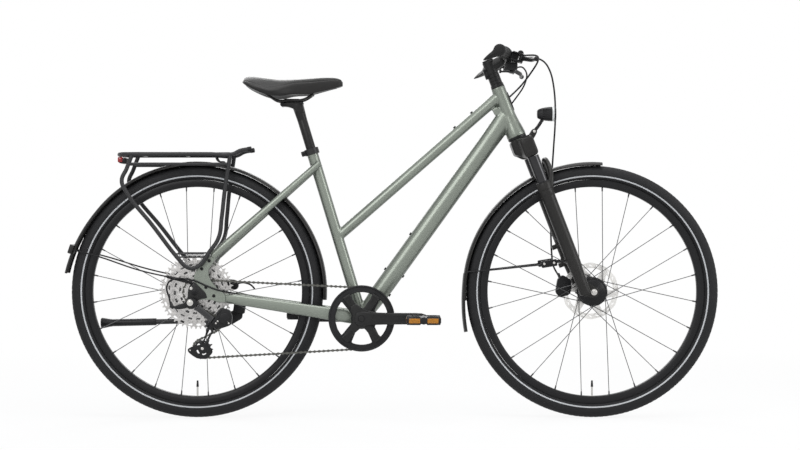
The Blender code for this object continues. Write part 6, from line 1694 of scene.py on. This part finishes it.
fitted(pod, shifter_plastic, "shifter_pod", "steering", ["shifter_body"], 35)
shift_pivot = pod_centre + Vector((0.004, 0.008, -0.0148))
paddle = joined(rod(shift_pivot - Vector((0, 0, 0.003)), shift_pivot + Vector((0, 0, 0.003)), 0.0079,
                    40, bevel=0.0006),
                block(shift_pivot + Vector((-0.015, -0.012, 0)), (0.0356, 0.0118, 0.004), bevel=0.0012),
                block(shift_pivot + Vector((-0.033, -0.012, 0.001)), (0.006, 0.02, 0.009),
                      bevel=0.0018))
fitted(paddle, shifter_plastic, "shift_paddle", "shifter_paddle", ["shift_lever"], 35)

# The bell: a small bright domed cup, spun from sheet, on a plastic clamp left of the stem, with
# its striker in front.
bell_foot = bar_at(0.086)
bell_base = joined(across(bell_foot, -0.005, 0.005, 0.0148, 48, 0.001),
                   rod(bell_foot + Vector((0, 0, 0.01)), bell_foot + Vector((0, 0, 0.013)), 0.008, 32,
                       bevel=0.0005),
                   block(bell_foot + Vector((0.016, 0, 0.011)), (0.008, 0.005, 0.003), bevel=0.001))
fitted(bell_base, plastic_black, "bell_clamp", "steering", ["bell"], 35)
dome = spun([
    (0.0006, 0.0255), (0.006, 0.025), (0.0115, 0.0232), (0.015, 0.02), (0.0166, 0.016),
    (0.0168, 0.0124), (0.0158, 0.0124), (0.0155, 0.016), (0.014, 0.0192), (0.0108, 0.0221),
    (0.0058, 0.0238), (0.0006, 0.0243)], bell_foot, (0, 0, 1), 64)
fitted(dome, nut_steel, "bell_dome", "steering")

# The headlamp: a ribbed plastic housing with a pale light band, a bezel and a chromed reflector,
# tilting on a bracket between the crown's lugs.
lamp_middle = steerer(0.512, 0.0985)


def squircle(x, reach):
    """A rounded square across the lamp's beam."""
    return [lamp_middle + Vector((x,
                                  reach * math.copysign(abs(math.cos(a)) ** 0.72, math.cos(a)) * 0.98,
                                  reach * math.copysign(abs(math.sin(a)) ** 0.72, math.sin(a)) * 0.98))
            for a in (math.tau * i / 48 for i in range(48))]


lamp_shell = skinned([squircle(x, r) for x, r in (
    (-0.0238, 0.009), (-0.023, 0.0112), (-0.019, 0.0142), (-0.011, 0.0172), (-0.001, 0.0192),
    (0.01, 0.0203), (0.018, 0.0208), (0.0186, 0.0203))])
lamp_bits = [lamp_shell]
for z in (-0.0105, -0.006, -0.0015, 0.003, 0.0075, 0.012):
    reach = 0.02 - abs(z) * 0.05
    lamp_bits.append(block(lamp_middle + Vector((0.004, 0, z)), (0.026, 2 * reach, 0.0016),
                           bevel=0.0005, segments=2))
lamp_bits.append(tube([lamp_pivot, lamp_pivot.lerp(lamp_middle, 0.35) + Vector((0.002, 0, 0)),
                       lamp_middle - Vector((0.006, 0, 0.01))], 0.0048, 20))
lamp_bits.append(across(lamp_pivot, -0.004, 0.004, 0.007, 40, 0.0006))
lamp_bits.append(rod(lamp_middle + Vector((-0.008, 0, -0.015)),
                     lamp_middle + Vector((-0.0095, 0, -0.0212)), 0.0035, 20, bevel=0.0005))
fitted(joined(*lamp_bits), shifter_plastic, "lamp_housing", "headlamp", ["headlight"],
       30)
lamp_white = surface("lamp_diffuser", (0.72, 0.73, 0.72), 0.35, cloud=(60, 0.03), grain=(500, 0.02),
                     coat=0.4)
lamp_chrome = surface("lamp_reflector", (0.85, 0.85, 0.86), 0.08, 1.0, cloud=(40, 0.03),
                      grain=(300, 0.02))
lamp_band = skinned([squircle(x, r) for x, r in (
    (0.0178, 0.0206), (0.0183, 0.021), (0.0232, 0.0212), (0.0237, 0.0208))])
fitted(lamp_band, lamp_white, "lamp_light_band", "headlamp")
bezel_outer = [squircle(x, r) for x, r in (
    (0.0233, 0.0209), (0.0238, 0.0213), (0.028, 0.0208), (0.0288, 0.0198), (0.0286, 0.0176),
    (0.027, 0.0172), (0.024, 0.0168))]
bezel = skinned(bezel_outer)
fitted(bezel, shifter_plastic, "lamp_bezel", "headlamp", (), 30)
bowl = skinned([squircle(x, r) for x, r in (
    (0.0287, 0.0172), (0.0282, 0.0172), (0.0262, 0.012), (0.025, 0.0055))], False)
fitted(bowl, lamp_chrome, "lamp_reflector_bowl", "headlamp")

# Trim of the head and seat tubes: the headset's lower cup, a rubber grommet where two cables
# enter, and the seat clamp with its bolt.
cup = spun([
    (0.0152, 0.0004), (0.0255, 0.0), (0.0264, 0.0008), (0.0265, 0.004), (0.0268, 0.0058),
    (0.0152, 0.006)], steerer(HEAD_LOW - 0.0063), steer_up, 96)
fitted(cup, black_steel, "headset_lower_cup", "frame", ["headset_cup"])
grommet_rings = []
for i in range(15):
    t = i / 14 * 2 - 1
    half = 0.4 * math.sqrt(max(0.03, 1 - t * t))
    angles = [half * (1 - 2 * j / 7) for j in range(8)]
    grommet_rings.append(
        [steerer(0.581 + 0.027 * t, r * math.cos(a), r * math.sin(a)) for r, a in
         [(0.021 + 0.0008 * (1 - t * t), a) for a in angles] + [(0.0186, a) for a in angles[::-1]]])
grommet = skinned(grommet_rings)
fitted(grommet, plastic_black, "cable_grommet", "frame")
seat_ring = spun([
    (0.0167, 0.0), (0.0196, 0.0), (0.0204, 0.0008), (0.0204, 0.0164), (0.0196, 0.0172),
    (0.0167, 0.0172)], seat_tube_at(SEAT_TUBE_LENGTH - 0.0158), seat_up, 72)
ears = [block(seat_tube_at(SEAT_TUBE_LENGTH - 0.007, -0.0235, side * 0.0052), (0.013, 0.0088, 0.014),
              SEAT_LEAN, 0.0018) for side in (-1, 1)]
seat_ring = joined(seat_ring, *ears)
fitted(seat_ring, black_steel, "seat_clamp_ring", "frame", ["seat_clamp"])
clamp_bolt = joined(*[bolt_head(seat_tube_at(SEAT_TUBE_LENGTH - 0.007, -0.024, side * 0.0094),
                                (0, side, 0), 0.0036, 0.0012) for side in (-1, 1)])
fitted(clamp_bolt, black_steel, "seat_clamp_bolt", "frame")

# The seatpost: a black aluminium tube with a forged head, whose clamp is bolted over two bent
# steel rails. It slides in the seat tube.
post_black = surface("seatpost_black", (0.018, 0.0175, 0.017), 0.32, 0.25, cloud=(10, 0.08),
                     grain=(1300, 0.06), wear=(0.07, 0.07, 0.07))
SEATPOST_TOP, POST_RADIUS = SEAT_TUBE_LENGTH + 0.128, 0.0136
rail_centre = seat_tube_at(SEATPOST_TOP) + Vector((-0.016, 0, 0.012))


def by_clamp(ahead, above, left=0.0):
    """A place ahead of the saddle's clamp, above it and left of it."""
    return rail_centre + Vector((ahead, left, above))


post_head = joined(rod(seat_tube_at(SEATPOST_TOP - 0.045), seat_tube_at(SEATPOST_TOP + 0.002),
                       POST_RADIUS, 72, 0.016),
                   slab(rounded([by_clamp(*p) for p in (
                       (-0.03, -0.0025), (0.0285, 0.001), (0.031, -0.011), (0.034, -0.033),
                       (0.012, -0.033), (0.005, -0.022), (-0.01, -0.0165), (-0.03, -0.015))], 0.006),
                        -0.015, 0.015, 0.005, 4))
post_head = fused(post_head, 0.0012, 4)
post_head = cut(post_head, *[rod(by_clamp(-0.04, -0.0005, side * 0.0225),
                                 by_clamp(0.04, 0.0022, side * 0.0225), 0.0044, 24) for side in
                             (-1, 1)])
upper_clamp = slab(rounded([by_clamp(*p) for p in (
    (-0.024, 0.002), (-0.02, 0.0058), (0.02, 0.0058), (0.024, 0.0036), (0.0, 0.001))], 0.003), -0.018,
                   0.018, 0.001)
post = joined(rod(seat_tube_at(SEAT_TUBE_LENGTH - 0.1), seat_tube_at(SEATPOST_TOP - 0.038), POST_RADIUS,
                  72, bevel=0.0006), post_head, upper_clamp)
fitted(post, post_black, "seatpost_tube", "seat", ["seatpost"], 30)
head_bolts = joined(across(by_clamp(-0.026, -0.0092), -0.0182, 0.0182, 0.0068, 36, 0.0012),
                    across(by_clamp(0.027, -0.006), -0.0182, 0.0182, 0.0052, 36, 0.0012),
                    *[bolt_head(by_clamp(-0.026, -0.0092, side * 0.018), (0, side, 0), 0.0042, 0.0018)
                      for side in (-1, 1)])
fitted(head_bolts, black_steel, "seatpost_bolts", "seat")
rail_pieces = []
for side in (-1, 1):
    rail_pieces.append(tube([by_clamp(*p) for p in (
        (-0.0758, 0.0223, side * 0.02), (-0.0598, 0.0117, side * 0.0225),
        (-0.0398, 0.0007, side * 0.0225), (-0.005, 0.0016, side * 0.0225),
        (0.0302, 0.0027, side * 0.0225), (0.0602, 0.0189, side * 0.016))], 0.0034, 20, steps=8))
for x, z, reach in ((-0.0723, 0.0197, 0.02), (0.0562, 0.0162, 0.016)):
    rail_pieces.append(across(by_clamp(x, z), -reach, reach, 0.003, 20))
rails = joined(*rail_pieces)
fitted(rails, post_black, "saddle_rail_wires", "seat", ["saddle_rails"], 40)

# The saddle: a padded cover of stretched synthetic leather with a stitched seam round its shoulder,
# stapled over a moulded black base.
# The cover darkens towards grazing angles at its sides: painted shade.
saddle_skin = surface("saddle_leatherette", (0.016, 0.0155, 0.015), 0.42, cloud=(14, 0.12),
                      grain=(620, 0.12), relief=0.00012, grazing_shade=(0.012, 0.012, 0.012))
SADDLE_FORM = (
    (-0.135, 0.052, 0.057, 0.048, 0.0497), (-0.13, 0.068, 0.064, 0.043, 0.046),
    (-0.112, 0.084, 0.0665, 0.032, 0.035), (-0.071, 0.086, 0.062, 0.015, 0.0257),
    (-0.035, 0.074, 0.0585, 0.01, 0.0227), (0.005, 0.051, 0.06, 0.016, 0.0217),
    (0.049, 0.034, 0.063, 0.018, 0.0222), (0.089, 0.025, 0.0658, 0.0275, 0.0297),
    (0.122, 0.02, 0.065, 0.0365, 0.0377), (0.137, 0.014, 0.06, 0.0405, 0.0412),
    (0.142, 0.006, 0.053, 0.0425, 0.0432))


def saddle_station(along):
    """Half width and heights of the top, the skirt's edge and the underside, through the table."""
    form = SADDLE_FORM
    i = max(j for j in range(len(form) - 1) if form[j][0] <= along + 1e-9)
    low, high = form[i], form[i + 1]
    before, after = form[max(0, i - 1)], form[min(len(form) - 1, i + 2)]
    gap = high[0] - low[0]
    t = (along - low[0]) / gap
    values = []
    for k in range(1, 5):
        slope_low = slope_high = high[k] - low[k]
        if i:
            slope_low = (high[k] - before[k]) / (high[0] - before[0]) * gap
        if i < len(form) - 2:
            slope_high = (after[k] - low[k]) / (after[0] - low[0]) * gap
        values.append(low[k] * (2 * t ** 3 - 3 * t ** 2 + 1) + slope_low * (t ** 3 - 2 * t ** 2 + t)
                      + high[k] * (3 * t ** 2 - 2 * t ** 3) + slope_high * (t ** 3 - t ** 2))
    return values


def saddle_ring(along):
    """The cover's outline at one place: a crowned top, a seam at its shoulder and a tucked skirt."""
    half, top, low, under = saddle_station(along)
    rise = top - low
    groove = 0.0011 * min(1.0, half / 0.03)
    side = [(0, top - 0.0006), (0.1, top), (0.25, top - rise * 0.004), (0.42, top - rise * 0.018),
            (0.58, top - rise * 0.05), (0.7, top - rise * 0.095), (0.79, top - rise * 0.15),
            (0.845, top - rise * 0.2), (0.87, top - rise * 0.232), (0.895, top - rise * 0.262),
            (0.935, top - rise * 0.34), (0.97, top - rise * 0.46), (0.992, top - rise * 0.6),
            (1.0, low + rise * 0.25), (0.996, low + rise * 0.12), (0.98, low + rise * 0.03),
            (0.955, low), (0.9, low + (under - low) * 0.1), (0.8, low + (under - low) * 0.4),
            (0.6, under), (0.3, under)]
    flare = min(1.0, max(0.0, (0.01 - along) / 0.07)) * 0.85
    points = []
    for u, z in side:
        slope = top - rise * 0.78 * max(0.0, (u - 0.4) / 0.6) ** 1.25
        if z > slope:
            z += (slope - z) * flare
        dip = groove if u == 0.87 else 0
        points.append((half * u - dip * 0.8, z - dip * 0.7))
    outline = [by_clamp(along, z, y) for y, z in points] + [by_clamp(along, under)]
    return outline + [by_clamp(along, z, -y) for y, z in points[:0:-1]]


stations = [-0.135 + 0.007 * (1 - math.cos(math.pi / 2 * i / 6)) for i in range(6)]
stations += [-0.128 + 0.262 * i / 62 for i in range(62)]
stations += [0.134 + 0.008 * math.sin(math.pi / 2 * i / 7) for i in range(8)]
saddle = skinned([saddle_ring(along) for along in stations])
fitted(saddle, saddle_skin, "saddle_padding", "seat", ["saddle_cover"], 60)
base_rings = []
for i in range(29):
    along = -0.125 + 0.25 * i / 28
    half, top, low, under = saddle_station(along)
    half = half * 0.9 - 0.001
    base_rings.append([by_clamp(along, z, y) for y, z in (
        (-half, low + 0.002), (-half * 0.7, under - 0.0015), (0, under - 0.0035),
        (half * 0.7, under - 0.0015), (half, low + 0.002), (half * 0.6, under + 0.004),
        (0, under + 0.006), (-half * 0.6, under + 0.004))])
fitted(skinned(base_rings), plastic_black, "saddle_base", "seat", (), 50)

# Cables: two housings cross from the bars into the head tube, a brake hose runs down the fork, one
# loops behind the derailleur and one enters the rear caliper. All are black, and the two at the
# calipers end in crimped sleeves.
hose_black = surface("hose_black", (0.012, 0.012, 0.013), 0.4, cloud=(25, 0.06), grain=(1400, 0.06))


def smooth_route(points, steps):
    """More places on a soft line through points."""
    route = []
    for i in range(len(points) - 1):
        before, start = points[max(0, i - 1)], points[i]
        end, after = points[i + 1], points[min(len(points) - 1, i + 2)]
        for step in range(steps):
            t = step / steps
            route.append(0.5 * (2 * start + (end - before) * t
                                + (2 * before - 5 * start + 4 * end - after) * t * t
                                + (3 * start - before - 3 * end + after) * t ** 3))
    return route + [points[-1]]


def by_front_axle(ahead, above, left):
    """A place ahead of the front axle, above it and left of it."""
    return front_axle + Vector((ahead, left, above))


def housing(name, points, radius, node, *bodies):
    """A cable housing along a route, free between its two ends."""
    route = smooth_route([Vector(p) for p in points], 6)
    outer = tube(route, radius, 14, bends="VECTOR", steps=1)
    outer.data.materials.append(hose_black)
    outer.name = outer.data.name = name
    only(outer)
    bpy.ops.object.shade_smooth_by_angle(angle=math.radians(50))
    if len(bodies) > 1:
        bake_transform(outer)
    else:
        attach(outer, *bodies)
    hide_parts(node)


def sleeve(start, way, length, radius, body, name):
    """A crimped end sleeve on a housing."""
    way = Vector(way).normalized()
    fitted(rod(start, Vector(start) + way * length, radius, 20, bevel=radius * 0.15), black_steel, name,
           body)


tank_end = bar_at(TANK_Y) + lever_way * 0.038 + Vector((0, -0.0373, 0.01))
right_tank_end = Vector((tank_end.x, -tank_end.y, tank_end.z))
housing("front_hose", [tank_end, tank_end + Vector((0.001, -0.012, 0.001)),
                       *[by_front_axle(*p) for p in (
                           (-0.168, 0.662, 0.05), (-0.133, 0.651, 0.045), (-0.113, 0.62, 0.044),
                           (-0.103, 0.575, 0.045), (-0.0985, 0.5215, 0.05), (-0.0985, 0.47, 0.058),
                           (-0.1015, 0.4, 0.078), (-0.105, 0.32, 0.095), (-0.108, 0.227, 0.094),
                           (-0.108, 0.157, 0.087), (-0.106, 0.099, 0.078), (-0.102, 0.069, 0.07),
                           (-0.089, 0.0412, 0.042))]], 0.0025, "front_brake_hose", "steering",
        "fork_legs")
housing("rear_hose", [right_tank_end, right_tank_end + Vector((0.001, 0.012, 0.001)),
                      *[by_front_axle(*p) for p in (
                          (-0.163, 0.658, -0.054), (-0.1545, 0.644, -0.038), (-0.176, 0.608, -0.018),
                          (-0.202, 0.575, -0.007))], steerer(0.593, 0.0212, -0.004)], 0.0025,
        "rear_brake_hose", "steering", "frame")
housing("shifter_housing", [pod_centre + Vector((0.0081, 0.019, -0.0015)),
                            pod_centre + Vector((0.0121, 0.029, -0.0023)),
                            *[by_front_axle(*p) for p in (
                                (-0.203, 0.623, -0.084), (-0.1894, 0.612, -0.06),
                                (-0.1866, 0.596, -0.04), (-0.196, 0.569, -0.013))],
                            steerer(0.574, 0.0212, 0.006)], 0.0022, "shift_cable", "steering", "frame")
housing("derailleur_housing", [at(*p) for p in (
    (0.107, 0.35, -0.064), (0.086, 0.355, -0.074), (0.06, 0.361, -0.0782), (0.029, 0.373, -0.0784),
    (-0.0015, 0.386, -0.081), (-0.04, 0.392, -0.085), (-0.064, 0.387, -0.087), (-0.074, 0.374, -0.087),
    (-0.075, 0.359, -0.087), (-0.069, 0.34, -0.0865), (-0.0645, 0.317, -0.0855))], 0.0024,
        "derailleur_cable", "frame")
caliper_tail = tube(smooth_route([at(*p) for p in (
    (0.098, 0.37, 0.056), (0.122, 0.376, 0.0545), (0.144, 0.37, 0.0545), (0.156, 0.358, 0.0545))], 6),
                    0.0025, 14, bends="VECTOR", steps=1)
fitted(caliper_tail, hose_black, "rear_caliper_hose", "frame")
sleeve(at(0.096, 0.3696, 0.056), (0.97, -0.05, 0.22), 0.012, 0.004, "frame", "rear_hose_sleeve")
sleeve(by_front_axle(-0.087, 0.038, 0.041), (-0.25, 0.52, 0.82), 0.013, 0.004, "fork_legs",
       "front_hose_sleeve")
